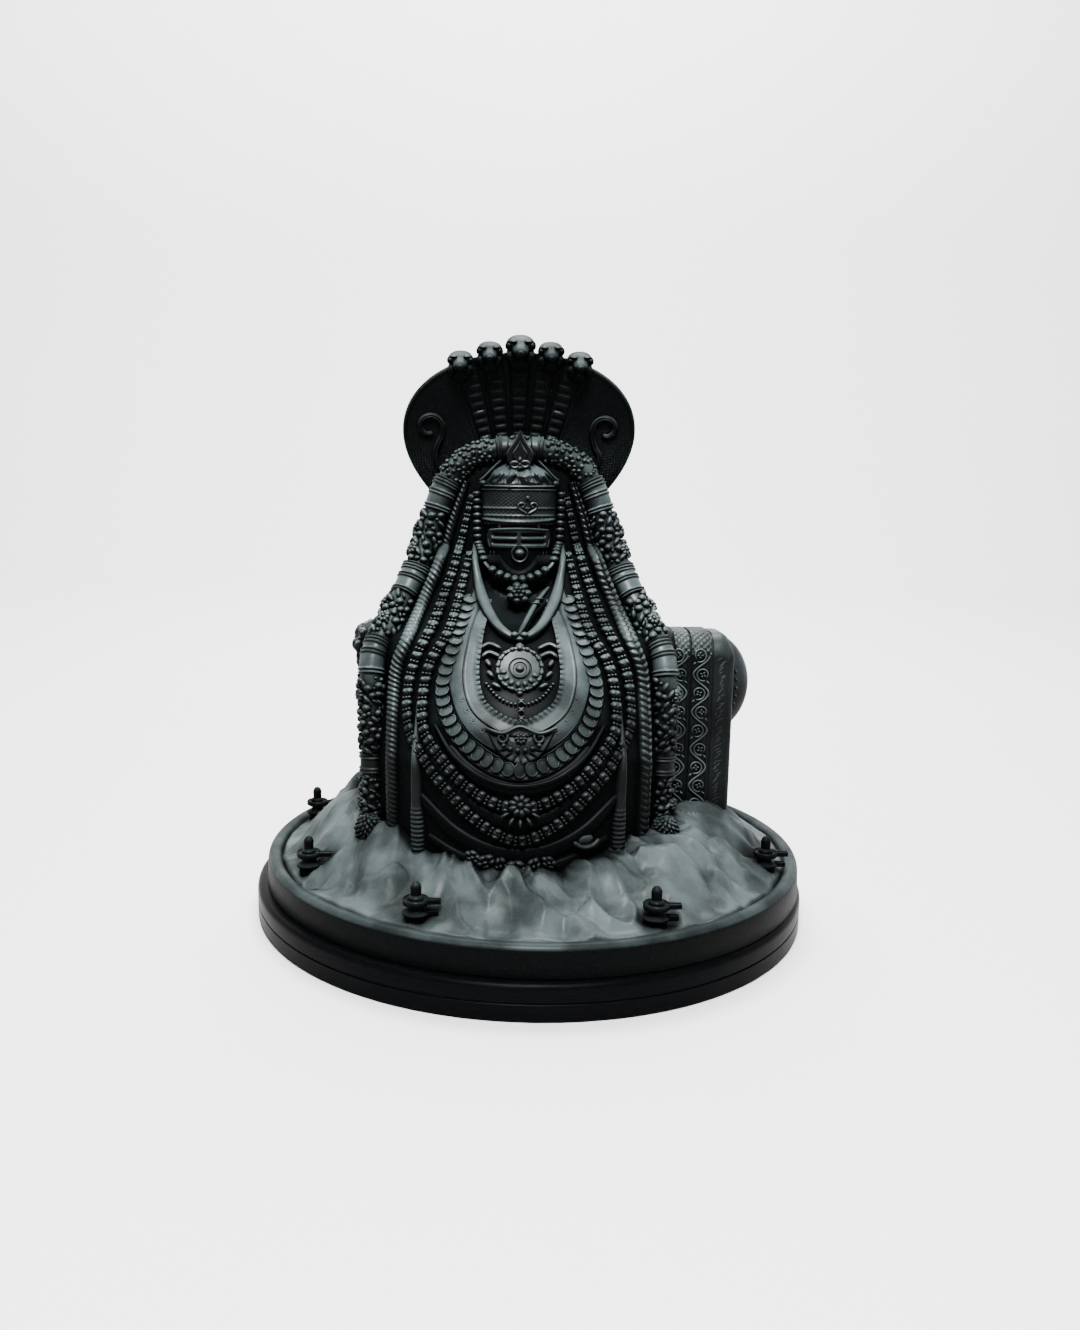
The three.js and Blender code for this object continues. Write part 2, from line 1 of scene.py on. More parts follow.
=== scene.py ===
import bmesh
import bpy
import numpy as np
from mathutils import Matrix, Vector


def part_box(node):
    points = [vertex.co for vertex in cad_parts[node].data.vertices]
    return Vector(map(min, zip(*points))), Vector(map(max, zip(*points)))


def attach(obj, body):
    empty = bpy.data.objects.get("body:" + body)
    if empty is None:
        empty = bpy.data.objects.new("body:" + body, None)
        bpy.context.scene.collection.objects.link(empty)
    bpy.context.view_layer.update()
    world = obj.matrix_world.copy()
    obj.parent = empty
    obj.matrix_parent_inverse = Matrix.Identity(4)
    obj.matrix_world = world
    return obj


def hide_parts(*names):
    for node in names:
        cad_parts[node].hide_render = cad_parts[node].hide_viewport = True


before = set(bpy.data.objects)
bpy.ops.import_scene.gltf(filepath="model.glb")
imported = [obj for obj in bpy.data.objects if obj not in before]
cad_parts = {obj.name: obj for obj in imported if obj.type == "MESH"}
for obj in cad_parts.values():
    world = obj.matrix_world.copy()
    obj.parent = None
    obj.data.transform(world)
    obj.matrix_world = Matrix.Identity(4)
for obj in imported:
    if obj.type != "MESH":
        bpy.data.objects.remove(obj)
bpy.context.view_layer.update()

MM = 0.001
plinth_high = np.array(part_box("plinth")[1]) / MM
figure_low, figure_high = (np.array(corner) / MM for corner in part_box("figure"))

# Plinth and the base of the casting
PLINTH_RADIUS = plinth_high[0]
PLINTH_HEIGHT = plinth_high[2]
PLINTH_SHOULDER = 1.6
SEAM_HEIGHT = 4.4
SEAM_WIDTH = 0.6
SEAM_DEPTH = 0.35
CASTING_RADIUS = (figure_high[0] - figure_low[0]) / 2
CASTING_SHIFT = (figure_high[0] + figure_low[0]) / 2
WALL_HEIGHT = 4.2
RIM_SETBACK = 1.1
RIM_HEIGHT = 3.7
RIM_WIDTH = 2.9
RIM_DROP = 0.7
MOUND_RISE = 12.5
MOUND_MARGIN = 4.6
FOLD_DEPTH = 0.9
VALLEY_DEPTH = 3.1
RIDGE_HEIGHT = 2.8
CRUMPLE_DEPTH = 0.65

# Dressed pedestal and linga. Tables give widths in hundredths of the pedestal's radius, and heights in
# hundredths of the crown's height.
AXIS_SHIFT = -4.8
PEDESTAL_RADIUS = 42.4
CROWN_HEIGHT = 97.3
SHOULDER_SHARE = 49.6
LINGA_RADIUS = 11.5
LINGA_SHARE = 88.7
BAND_FOOT, BAND_TOP = 76.6, 86.1
MARK_FOOT, MARK_TOP = 70.6, 75.1
MARK_HALF_WIDTH = 7.9
EYE_PLACE = (0.2, 69.1)
HAIR_FOOT, HAIR_TOP = 86.6, 92.6

# Spout and hood. The spout's columns and strip are measured from the linga's axis, and belts in degrees.
SPOUT_REACH = 58.4
SPOUT_TOP_SHARE = 49
SPOUT_WIDTH = 19
SPOUT_NOSE = 5.8
NOSE_ROOT = 6
NOSE_MARGIN = 1.5
SPOUT_ROUNDING = 6
SPOUT_CORNER = 1.6
SPOUT_COLUMNS = ((40.7, 46), (46.7, 51.8))
SPOUT_SEAM_INSET = 0.2
SPOUT_STRIP_START = 52.6
SPOUT_FALL_START = 54.8
SPOUT_FALL = 0.3
VINE_CELLS = 9
VINE_PITCH = 5.1
VINE_SWAY = 2.1
VINE_CURL = 1.75
HOOD_FOCUS_SHARE = 67.1
HOOD_RADIUS = 56.3
HOOD_SPREAD = 54
HOOD_THICKNESS = 4.2
HOOD_BACK = 8
HOOD_LEAN = 7
BELT_RELIEF = 1
BELT_PITCH = 7.5
BELT_HALF_WIDTH = 2.7
PLATE_HEIGHT = 2.25
HEAD_PITCH = 8.2
HEAD_RISE = 1.0
HEAD_FALL = 0.7
HEAD_WIDTH = 6.9

# Small lingas, flowers, ropes and jewels
SMALL_LINGA_HEIGHT = 8.2
SMALL_LINGA_INSET = 4.3
SMALL_LINGA_BEARINGS = (-104, -63, -26, 24, 68, 121, 163, -150)
GARLAND_RADIUS = 3.7
ROPE_WIDTH = 3.8
BEAD_PITCH = 3.1
COIN_WIDTH = 4.6
COIN_PITCH = 2.7
ROLL_WIDTH = 4.4
CRESCENT_WIDTH = 3.4
LEAF_HEIGHT = 9.6
PENDANT_LEAN = 28

# [height, radius at the front, at the sides, at the back]
PEDESTAL_PROFILE = np.array([
    [-11, 109.7, 100, 100], [20, 112, 100, 100], [30.1, 102.6, 100, 100.5], [38.3, 89.6, 100.5, 101.4],
    [45.5, 75.5, 104.2, 102.6], [SHOULDER_SHARE, 67.2, 100.9, 100.2], [51.7, 62.5, 90.8, 94.3],
    [56.8, 48.3, 79.7, 86.1], [63, 33, 70.8, 75.5], [70.6, 20, 59, 59],
])
# [height, half width, depth in front, depth behind]
CLOAK_PROFILE = np.array([
    [47.6, 84.9, 33, 84.9], [56.8, 78.8, 23.6, 80.2], [63, 69.6, 20, 70.8], [70.2, 61.3, 17.7, 62.5],
    [78.4, 54.2, 16.5, 54.2], [86.6, 47.6, 15.3, 46], [92.8, 38.9, 14.2, 36.6], [96.9, 27.1, 11.8, 25.9],
    [100, 11.8, 4.7, 11.8],
])
# [degrees from the front, distance from the axis, height]
GARLAND_PATH = np.array([
    [0, 10.6, 98.8], [48.1, 15.5, 98.6], [68.2, 25.4, 97.5], [74.8, 34.2, 95.6], [77.5, 41.5, 92.5],
    [77.5, 49, 86.1], [76, 58.3, 74.4], [70.4, 70.3, 63], [65.1, 85.3, 53.6], [60.1, 99.3, 45.8],
    [57.5, 104.6, 39.1], [57.1, 105.1, 30.3], [57, 104.9, -3.8],
])
# Down the garland: [share of the way, share of its radius], [share of the way, length] of its bound places,
# and [share of the way, radians round it] of its roses
GARLAND_FULLNESS = np.array([[0, 0.93], [0.2, 1.04], [0.42, 1.1], [0.6, 0.98], [0.7, 0.86], [1, 0.84]])
GARLAND_SLEEVES = ((0.036, 3.4), (0.213, 9.2), (0.416, 9.6), (0.611, 9.8), (0.836, 5.6))
GARLAND_ROSES = ((0.3, 1.2), (0.35, 2.1), (0.49, 1.5), (0.53, 2.4), (0.535, 0.8), (0.69, 1.6), (0.92, 1.5))
BUD_SIZES = (0.45, 1.1)
ARCH_BUD_SIZE = 0.72

# Strands that lie on the front, from the top down one side: [half width, height]
ROPE = [[32.1, 89.7], [40.3, 79.9], [47.6, 69.2], [56.4, 58.9], [66, 48.8], [71.7, 41.4], [73.1, 28.9],
        [72.6, -2.8]]
OUTER_BEADS = [[29.2, 85.5], [36.8, 71.1], [48.6, 54.3], [59.2, 44.9], [63.4, 36], [61.5, 27.6], [51.9, 21.2],
               [39.2, 15], [23.6, 8.2], [0, 3.4]]
INNER_BEADS = [[30.4, 69.5], [39.6, 52.6], [50.2, 44.3], [54, 36], [53.2, 28.6], [44.6, 23.1], [30.4, 17.3],
               [14.2, 13], [0, 12]]
COIN_BAND = [[29.5, 58.9], [36.8, 49.6], [43.4, 39.5], [40.3, 32.4], [30.9, 26.8], [16.5, 22.4], [0, 20.7]]
MIDDLE_BAND = [[24.8, 61.6], [30.6, 49.4], [35, 42], [29.3, 33.4], [17, 28.4], [0, 26]]
INNER_BAND = [[19.1, 58.9], [25.5, 49.6], [27.6, 41.4], [23.3, 35], [12.4, 31.4], [0, 30]]
CRESCENT = [[27.8, 73.5], [26.4, 66.6], [22.2, 59], [15.6, 53.8], [8.3, 50.8], [0, 49.6]]
COLLAR = [[25.7, 86.6], [25.5, 79.4], [24.5, 72.3], [20.8, 68.1], [13, 65.3], [0, 63.6]]
ROLL = [[58.3, 34], [57.6, 15], [56.8, -4]]


def wide(share):
    return np.asarray(share) * PEDESTAL_RADIUS / 100


def tall(share):
    return np.asarray(share) * CROWN_HEIGHT / 100


rim_top = WALL_HEIGHT + RIM_HEIGHT
ground_edge = CASTING_RADIUS - RIM_SETBACK - RIM_WIDTH
mound_foot = PEDESTAL_RADIUS + MOUND_MARGIN
foot_height = rim_top - RIM_DROP + MOUND_RISE
CASTING = np.array([CASTING_SHIFT, 0, PLINTH_HEIGHT])
DRESS = CASTING + [AXIS_SHIFT, 0, foot_height]


# Modelling tools. A form is its points and its faces, four corners each. A triangle repeats its last corner.
def unit(vectors):
    return vectors / np.linalg.norm(vectors, axis=-1, keepdims=True)


def lerp(a, b, share):
    return a + (b - a) * share


def ease(low, high, value):
    """From 0 at low to 1 at high, smoothly."""
    share = np.clip((value - low) / (high - low), 0, 1)
    return share * share * (3 - 2 * share)


def bump(middle, width, value):
    """A smooth rise to 1 at the middle, falling away on both sides."""
    return np.exp(-((value - middle) / width) ** 2)


def grain(u, v, seed, wrap=256):
    """Smooth unevenness from -1 to 1 over a plane, with cells one unit wide and wrap cells round u."""
    table = np.random.default_rng(seed).uniform(-1, 1, (256, 256))
    a, b = np.floor(u).astype(int), np.floor(v).astype(int)
    across, up = ease(0, 1, u - a), ease(0, 1, v - b)

    def row(c):
        return lerp(table[a % wrap, c % 256], table[(a + 1) % wrap, c % 256], across)

    return lerp(row(b), row(b + 1), up)


def facets(u, v, seed, wrap):
    """Crumpled unevenness from -1 to 1: flat facets about one unit across that meet in creases."""
    table = np.random.default_rng(seed).uniform(-1, 1, (256, 256))
    u, v = u + 0.45 * grain(u, v, seed + 1, wrap), v + 0.45 * grain(u, v, seed + 2, wrap)
    a, b = np.floor(u).astype(int), np.floor(v).astype(int)
    across, up = u - a, v - b
    near, far = table[a % wrap, b % 256], table[(a + 1) % wrap, (b + 1) % 256]
    right, above = table[(a + 1) % wrap, b % 256], table[a % wrap, (b + 1) % 256]
    low = near + across * (right - near) + up * (above - near)
    high = far + (1 - across) * (above - far) + (1 - up) * (right - far)
    return np.where(across + up < 1, low, high)


def polar(r, turn, z):
    return np.stack(np.broadcast_arrays(r * np.sin(turn), -r * np.cos(turn), z), -1)


def skin(rings, closed=True):
    """A form through rings of points, with a fan at either end if it is closed."""
    rows, columns = rings.shape[:2]
    index = np.arange(rows * columns).reshape(rows, columns)
    if closed:
        index = np.hstack([index, index[:, :1]])
    faces = np.stack([index[:-1, :-1], index[:-1, 1:], index[1:, 1:], index[1:, :-1]], -1).reshape(-1, 4)
    points = rings.reshape(-1, 3)
    if closed:
        points = np.vstack([points, rings[0].mean(0), rings[-1].mean(0)])
        for hub, ring in ((-2, index[0]), (-1, index[-1])):
            tip = np.full(columns, len(points) + hub)
            faces = np.vstack([faces, np.stack([tip, ring[1:], ring[:-1], ring[:-1]], -1)])
    return points, faces


def lathe(profile, sides):
    """A turned form from [radius, height] points."""
    r, z = np.asarray(profile, float).T
    turn = np.arange(sides) * 2 * np.pi / sides
    return skin(polar(r[:, None], turn, z[:, None]))


def ball(sides=8, rows=5, low=-90):
    """A ball one unit in radius, or a dome from a latitude up."""
    tilt = np.radians(np.linspace(low, 90, rows + 1)[:-1])
    if low == -90:
        tilt = tilt[1:]
    profile = np.stack([np.cos(tilt), np.sin(tilt)], -1)
    points, faces = lathe(profile, sides)
    points[-1, 2] = 1
    if low == -90:
        points[-2, 2] = -1
    return points, faces


def merged(forms):
    counts = np.cumsum([0] + [len(points) for points, _ in forms])
    faces = [form[1] + start for form, start in zip(forms, counts)]
    return np.vstack([points for points, _ in forms]), np.vstack(faces)


def moved(form, shift=(0, 0, 0), size=1.0, spin=0.0):
    """A form turned about z by spin degrees, sized and shifted."""
    turn = np.radians(spin)
    turning = np.array([[np.cos(turn), -np.sin(turn), 0], [np.sin(turn), np.cos(turn), 0], [0, 0, 1]])
    return (form[0] * size) @ turning.T + shift, form[1]


def stamp(form, places, ways, size=1.0):
    """Copies of a form at places, turned by 3x3 ways. size may have a row for each copy."""
    points, faces = form
    places, size = np.atleast_2d(places), np.asarray(size, float)
    sized = points[None] * (size[:, None] if size.ndim == 2 else size)
    copies = np.broadcast_to(sized, (len(places), *points.shape))
    many = np.einsum("mij,mnj->mni", ways.reshape(-1, 3, 3), copies)
    starts = np.arange(len(places)) * len(points)
    return (many + places[:, None]).reshape(-1, 3), (faces[None] + starts[:, None, None]).reshape(-1, 4)


def smooth_path(points, steps=24):
    """A smooth line through points."""
    p = np.asarray(points, float)
    p = np.vstack([2 * p[0] - p[1], p, 2 * p[-1] - p[-2]])
    t = np.linspace(0, 1, steps, endpoint=False)[:, None]
    parts = [
        b + 0.5 * t * (c - a + t * (2 * a - 5 * b + 4 * c - d + t * (3 * b - a - 3 * c + d)))
        for a, b, c, d in zip(p, p[1:], p[2:], p[3:])
    ]
    return np.vstack([*parts, p[-2]])


def travel(points):
    """Distance along a line of points, up to each of them."""
    return np.concatenate([[0], np.cumsum(np.linalg.norm(np.diff(points, axis=0), axis=1))])


def facing(surface, u, v, step=0.4):
    across = surface(u + step, v) - surface(u - step, v)
    up = surface(u, v + step) - surface(u, v - step)
    return unit(np.cross(across, up))


def ways_along(places, normals):
    """3x3 ways whose x runs along a line of places and whose z stands off the surface."""
    along = unit(np.gradient(places, axis=0))
    side = unit(np.cross(normals, along))
    return np.stack([along, side, np.cross(along, side)], -1)


def laid(surface, flat, spacing, proud=0.0):
    """Evenly spaced places, and their ways, along a flat path laid on a surface."""
    dense = smooth_path(flat)
    run = travel(surface(*dense.T))
    marks = np.linspace(0, run[-1], max(round(run[-1] / spacing), 2) + 1)
    u, v = (np.interp(marks, run, column) for column in dense.T)
    normals = facing(surface, u, v)
    places = surface(u, v) + normals * proud
    return places, ways_along(places, normals)


def set_on(surface, u, v, proud=0.0, spin=0.0):
    """One place on a surface and its way: x runs along u, turned by spin degrees, and z stands off it."""
    normal = facing(surface, np.array([u]), np.array([v]))[0]
    place = surface(np.array([u]), np.array([v]))[0] + normal * proud
    along = surface(np.array([u + 0.4]), np.array([v]))[0] - surface(np.array([u - 0.4]), np.array([v]))[0]
    side = unit(np.cross(normal, along))
    along = np.cross(side, normal)
    turn = np.radians(spin)
    x = along * np.cos(turn) + side * np.sin(turn)
    return place, np.stack([x, np.cross(normal, x), normal], -1)


def turned_out(along, out, spin):
    """Ways whose z stands off a strand along out, each turned about it by spin from the strand's run."""
    side = np.cross(out, along)
    x = along * np.cos(spin)[:, None] + side * np.sin(spin)[:, None]
    return np.stack([x, np.cross(out, x), out], -1)


def oval(sides, start=0.5):
    turn = (np.arange(sides) + start) * 2 * np.pi / sides
    return np.stack([np.cos(turn), np.sin(turn)], -1)


def strand(places, ways, section):
    """A closed strand. Its section gives [across, out] points, one set for all places or one for each."""
    section = np.broadcast_to(section, (len(places), *np.shape(section)[-2:]))
    rings = places[:, None] + section[..., :1] * ways[:, None, :, 1] + section[..., 1:] * ways[:, None, :, 2]
    return skin(rings)


def wire(surface, flat, radius, spacing=0.35, proud=0.0, sides=6, ends=1.0):
    """A round wire along a flat path laid on a surface. Its ends taper to a share of its radius."""
    places, ways = laid(surface, flat, spacing, proud)
    share = np.linspace(0, 1, len(places))
    taper = lerp(ends, 1, np.clip(np.minimum(share, 1 - share) * 8, 0, 1) ** 0.5)
    return strand(places, ways, oval(sides) * (radius * taper)[:, None, None])


def sheet(surface, across, up, relief, sink=0.6):
    """A thin form over a patch of a surface. relief gives its height off the surface at u and v."""
    u, v = np.meshgrid(across, up)
    spots, normals = surface(u, v), facing(surface, u, v)
    raised = spots + normals * np.broadcast_to(relief(u, v), u.shape)[..., None]
    return skin(np.concatenate([raised, (spots - normals * sink)[:, ::-1]], axis=1))


SCROLL_STEPS = 26


def spiral(turns, radius, side=1, end=90, eye=0.14):
    """Flat points of a scroll. It winds out from eye, a share of its radius, to end degrees from the top."""
    t = np.linspace(0, 1, SCROLL_STEPS)
    angle = np.radians(end - 360 * turns * (1 - t))
    return np.stack([side * np.sin(angle), np.cos(angle)], -1) * radius * lerp(eye, 1, t)[:, None]


def both_sides(half):
    """A whole symmetrical path from the half that runs down one side to the middle, left side first."""
    half = np.asarray(half, float)
    left = half * [-1, 1]
    return np.vstack([left, half[-2::-1]])


def in_mm(path):
    path = np.asarray(path, float)
    return np.stack([wide(path[:, 0]), tall(path[:, 1])], -1)


def piece(name, forms, paint, origin=DRESS, node="figure", sharp=50):
    """One named piece from its forms, placed in metres, riding on the root and standing for its CAD node."""
    points, faces = merged(forms)
    corners = np.ones(faces.shape, bool)
    corners[:, 3] = faces[:, 3] != faces[:, 2]
    sizes = corners.sum(axis=1)
    mesh = bpy.data.meshes.new(name)
    mesh.vertices.add(len(points))
    mesh.vertices.foreach_set("co", ((points + origin) * MM).ravel())
    mesh.loops.add(int(sizes.sum()))
    mesh.loops.foreach_set("vertex_index", faces[corners])
    mesh.polygons.add(len(faces))
    mesh.polygons.foreach_set("loop_start", np.cumsum(sizes) - sizes)
    mesh.update(calc_edges=True)
    shell = bmesh.new()
    shell.from_mesh(mesh)
    bmesh.ops.recalc_face_normals(shell, faces=shell.faces)
    shell.to_mesh(mesh)
    shell.free()
    mesh.shade_smooth()
    mesh.set_sharp_from_angle(angle=np.radians(sharp))
    mesh.materials.append(paint)
    made = bpy.data.objects.new(name, mesh)
    bpy.context.collection.objects.link(made)
    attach(made, "root")
    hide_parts(node)


# Surfaces that the relief lies on
def table_at(table, z, column):
    return wide(np.interp(100 * z / CROWN_HEIGHT, table[:, 0], table[:, column]))


def pedestal_radius(turn, z):
    in_front, at_side, behind = (table_at(PEDESTAL_PROFILE, z, column) for column in (1, 2, 3))
    return lerp(np.where(np.cos(turn) > 0, in_front, behind), at_side, np.sin(turn) ** 2)


def cloak_point(turn, z):
    in_front = np.cos(turn) > 0
    depth = np.where(in_front, table_at(CLOAK_PROFILE, z, 2), table_at(CLOAK_PROFILE, z, 3))
    y = -np.sign(np.cos(turn)) * np.abs(np.cos(turn)) ** np.where(in_front, 0.6, 1) * depth
    return np.stack(np.broadcast_arrays(np.sin(turn) * table_at(CLOAK_PROFILE, z, 1), y, z), -1)


def bare_depth(x, z):
    """How far in front of the axis the pedestal, cloak and linga stand."""
    turn = np.zeros(np.broadcast(x, z).shape)
    for _ in range(12):
        turn = np.arcsin(np.clip(x / pedestal_radius(turn, z), -0.98, 0.98))
    slope = np.where(z < tall(PEDESTAL_PROFILE[-1, 0]), pedestal_radius(turn, z) * np.cos(turn), 0)
    across = np.clip(np.abs(x) / table_at(CLOAK_PROFILE, z, 1), 0, 1)
    bulge = (1 - across ** 2) ** 0.3
    cloak = np.where(z > tall(CLOAK_PROFILE[0, 0]), table_at(CLOAK_PROFILE, z, 2) * bulge, 0)
    linga = np.where(z < tall(LINGA_SHARE), np.sqrt(np.maximum(LINGA_RADIUS ** 2 - x ** 2, 0)), 0)
    return np.maximum(np.maximum(slope, cloak), linga)


DEPTH_STEP = 0.5
DEPTH_REACH = 48
DEPTH_FOOT, DEPTH_TOP = -14, 106
depth_z = np.arange(DEPTH_FOOT, DEPTH_TOP, DEPTH_STEP)
depth_x = np.arange(-DEPTH_REACH, DEPTH_REACH + DEPTH_STEP, DEPTH_STEP)
depth_map = bare_depth(*np.meshgrid(depth_x, depth_z, indexing="ij"))
for _ in range(6):
    padded = np.pad(depth_map, 1, mode="edge")
    depth_map = (padded[:-2, 1:-1] + padded[2:, 1:-1] + padded[1:-1, :-2] + padded[1:-1, 2:]) / 4


def front(x, z, proud=0.0):
    """A point of the dressed front, taken as softened where cloth bridges from the linga to the slope."""
    i = np.clip((x - depth_x[0]) / DEPTH_STEP, 0, len(depth_x) - 1.01)
    j = np.clip((z - depth_z[0]) / DEPTH_STEP, 0, len(depth_z) - 1.01)
    a, b = i.astype(int), j.astype(int)
    low = lerp(depth_map[a, b], depth_map[a + 1, b], i - a)
    high = lerp(depth_map[a, b + 1], depth_map[a + 1, b + 1], i - a)
    return np.stack([x, -lerp(low, high, j - b) - proud, z], -1)


def hung(x, z, proud, spin=0.0):
    """A place off the front, with a way that leans back a little, as a hanging jewel does."""
    lean, turn = np.radians(PENDANT_LEAN), np.radians(spin)
    out = np.array([0, -np.cos(lean), np.sin(lean)])
    side = np.array([np.cos(turn), np.sin(turn) * np.sin(lean), np.sin(turn) * np.cos(lean)])
    place = front(np.array([x]), np.array([z]))[0] + out * proud
    return place, np.stack([side, np.cross(out, side), out], -1)


def linga_face(u, z):
    """The linga's wall, with u in millimetres round from the middle of its front."""
    return polar(LINGA_RADIUS, u / LINGA_RADIUS, z)


def leaf_face(x, z):
    """The upright plane in which the leaf over the linga stands."""
    return np.stack(np.broadcast_arrays(x, -wide(24.5), z), -1)


def spout_face(x, run):
    """The cloth over the spout: up its front, over its rounded edge and along its top, lower by the nose."""
    half, bend_foot = SPOUT_WIDTH / 2, tall(SPOUT_TOP_SHARE) - SPOUT_ROUNDING
    turn = np.clip((run - bend_foot) / SPOUT_ROUNDING, 0, np.pi / 2)
    past = np.maximum(run - bend_foot - SPOUT_ROUNDING * np.pi / 2, 0)
    y = -half + SPOUT_ROUNDING * (1 - np.cos(turn)) + past
    fall = SPOUT_FALL * np.maximum(x - SPOUT_FALL_START, 0) ** 2
    z = np.minimum(run, bend_foot) + SPOUT_ROUNDING * np.sin(turn) - fall
    return np.stack(np.broadcast_arrays(x, y, z), -1)


def hood_reach(degrees):
    return HOOD_RADIUS * np.maximum(1 - np.abs(degrees / HOOD_SPREAD) ** 4, 0) ** 0.4


def hood_point(degrees, r, depth=0.0):
    turn = np.radians(degrees)
    curl = HOOD_LEAN * (r / HOOD_RADIUS) ** 4 + 2 * (degrees / HOOD_SPREAD) ** 2
    y = HOOD_BACK - curl + depth
    return np.stack(np.broadcast_arrays(r * np.sin(turn), y, tall(HOOD_FOCUS_SHARE) + r * np.cos(turn)), -1)


def hood_face(x, z):
    """The hood's face, found from x and from the height above the pedestal's foot."""
    rise = z - tall(HOOD_FOCUS_SHARE)
    return hood_point(np.degrees(np.arctan2(x, rise)), np.hypot(x, rise))


def ground_height(r, turn):
    share = np.clip((ground_edge - r) / (ground_edge - mound_foot), 0, 1)
    facing_front = np.maximum(np.cos(turn), 0) ** 2
    rise = MOUND_RISE * (1.35 - 0.55 * facing_front) * share ** 2 * (3 - 2 * share)
    folds = np.sin(9 * turn + 3 * share) + 0.7 * np.sin(16 * turn - 5 * share + 1.3)
    return rim_top - RIM_DROP + rise + FOLD_DEPTH * folds * np.sin(np.pi * share)


# Finishes
class Reading:
    """A value in a paint's node tree. Sums and products of readings add Math nodes."""

    def __init__(self, paint, socket):
        self.paint = paint
        self.socket = socket

    def maths(self, operation, *values):
        node = self.paint.node("ShaderNodeMath", {"operation": operation}, dict(enumerate(values)))
        return Reading(self.paint, node.outputs[0])

    def __add__(self, other):
        return self.maths("ADD", self, other)

    def __mul__(self, other):
        return self.maths("MULTIPLY", self, other)

    __radd__ = __add__
    __rmul__ = __mul__


class Paint:
    """A material whose varying parts are written as expressions."""

    def __init__(self, name, **constants):
        self.material = bpy.data.materials.new(name)
        self.material.use_nodes = True
        self.tree = self.material.node_tree
        self.shader = self.tree.nodes["Principled BSDF"]
        self.place = self.node("ShaderNodeTexCoord", {}, {}).outputs["Object"]
        for socket, value in constants.items():
            self.shader.inputs[socket.replace("_", " ")].default_value = value

    def node(self, kind, settings, sockets):
        """A node of a type, its settings made first, then its sockets' values or links."""
        made = self.tree.nodes.new(kind)
        for setting, value in settings.items():
            setattr(made, setting, value)
        for socket, value in sockets.items():
            self.feed(made.inputs[socket], value)
        return made

    def feed(self, socket, value):
        value = value.socket if isinstance(value, Reading) else value
        if isinstance(value, bpy.types.NodeSocket):
            self.tree.links.new(value, socket)
        else:
            socket.default_value = value

    def stretched(self, scale):
        settings = {"operation": "MULTIPLY"}
        return self.node("ShaderNodeVectorMath", settings, {0: self.place, 1: scale}).outputs[0]

    def noise(self, per_metre, detail=2.0, roughness=0.5, stretch=(1, 1, 1)):
        sockets = {
            "Vector": self.stretched(stretch), "Scale": per_metre, "Detail": detail, "Roughness": roughness,
        }
        return Reading(self, self.node("ShaderNodeTexNoise", {}, sockets).outputs[0])

    def eased(self, reading, low, high):
        """From 0 where a reading is low to 1 where it is high, smoothly."""
        settings = {"interpolation_type": "SMOOTHSTEP"}
        sockets = {"Value": reading, "From Min": low, "From Max": high}
        return Reading(self, self.node("ShaderNodeMapRange", settings, sockets).outputs[0])

    def upward(self, low, high):
        """How far the surface faces up, from 0 where its normal's z is low to 1 where it is high."""
        normal = self.node("ShaderNodeNewGeometry", {}, {}).outputs["Normal"]
        parts = self.node("ShaderNodeSeparateXYZ", {}, {0: normal})
        return self.eased(Reading(self, parts.outputs["Z"]), low, high)

    def openness(self, reach):
        """1 on open and raised places, falling to 0 in hollows that are about as deep as the reach."""
        hollows = self.node("ShaderNodeAmbientOcclusion", {"samples": 8}, {"Distance": reach})
        return self.eased(Reading(self, hollows.outputs["AO"]), 0.45, 0.97)

    def height(self, low, high):
        """From 0 at a low height in metres to 1 at a high one, smoothly."""
        parts = self.node("ShaderNodeSeparateXYZ", {}, {0: self.place})
        return self.eased(Reading(self, parts.outputs["Z"]), low, high)

    def blend(self, share, low, high):
        """A colour between two, by a reading."""
        sockets = {0: share, 6: (*low, 1), 7: (*high, 1)}
        return self.node("ShaderNodeMix", {"data_type": "RGBA"}, sockets).outputs[2]

    def finish(self, colour, roughness, height=None, depth=0.00002):
        self.feed(self.shader.inputs["Base Color"], colour)
        self.feed(self.shader.inputs["Roughness"], roughness)
        if height is not None:
            sockets = {"Height": height, "Distance": depth, "Strength": 1.0}
            self.feed(self.shader.inputs["Normal"], self.node("ShaderNodeBump", {}, sockets).outputs[0])
        return self.material


BLACK = (0.0008, 0.001, 0.0011)
# Greys painted where a face is up and open: partly wear, partly painted light from the overhead lamps.
LIT_AND_WORN_GREY = (0.038, 0.051, 0.052)
LIT_AND_WORN_ROCK_GREY = (0.056, 0.071, 0.072)
# Between these heights in metres the dress goes from painted shade at its foot to full painted light above.
SHADED_FOOT_HEIGHT, FULLY_LIT_HEIGHT = 0.054, 0.07


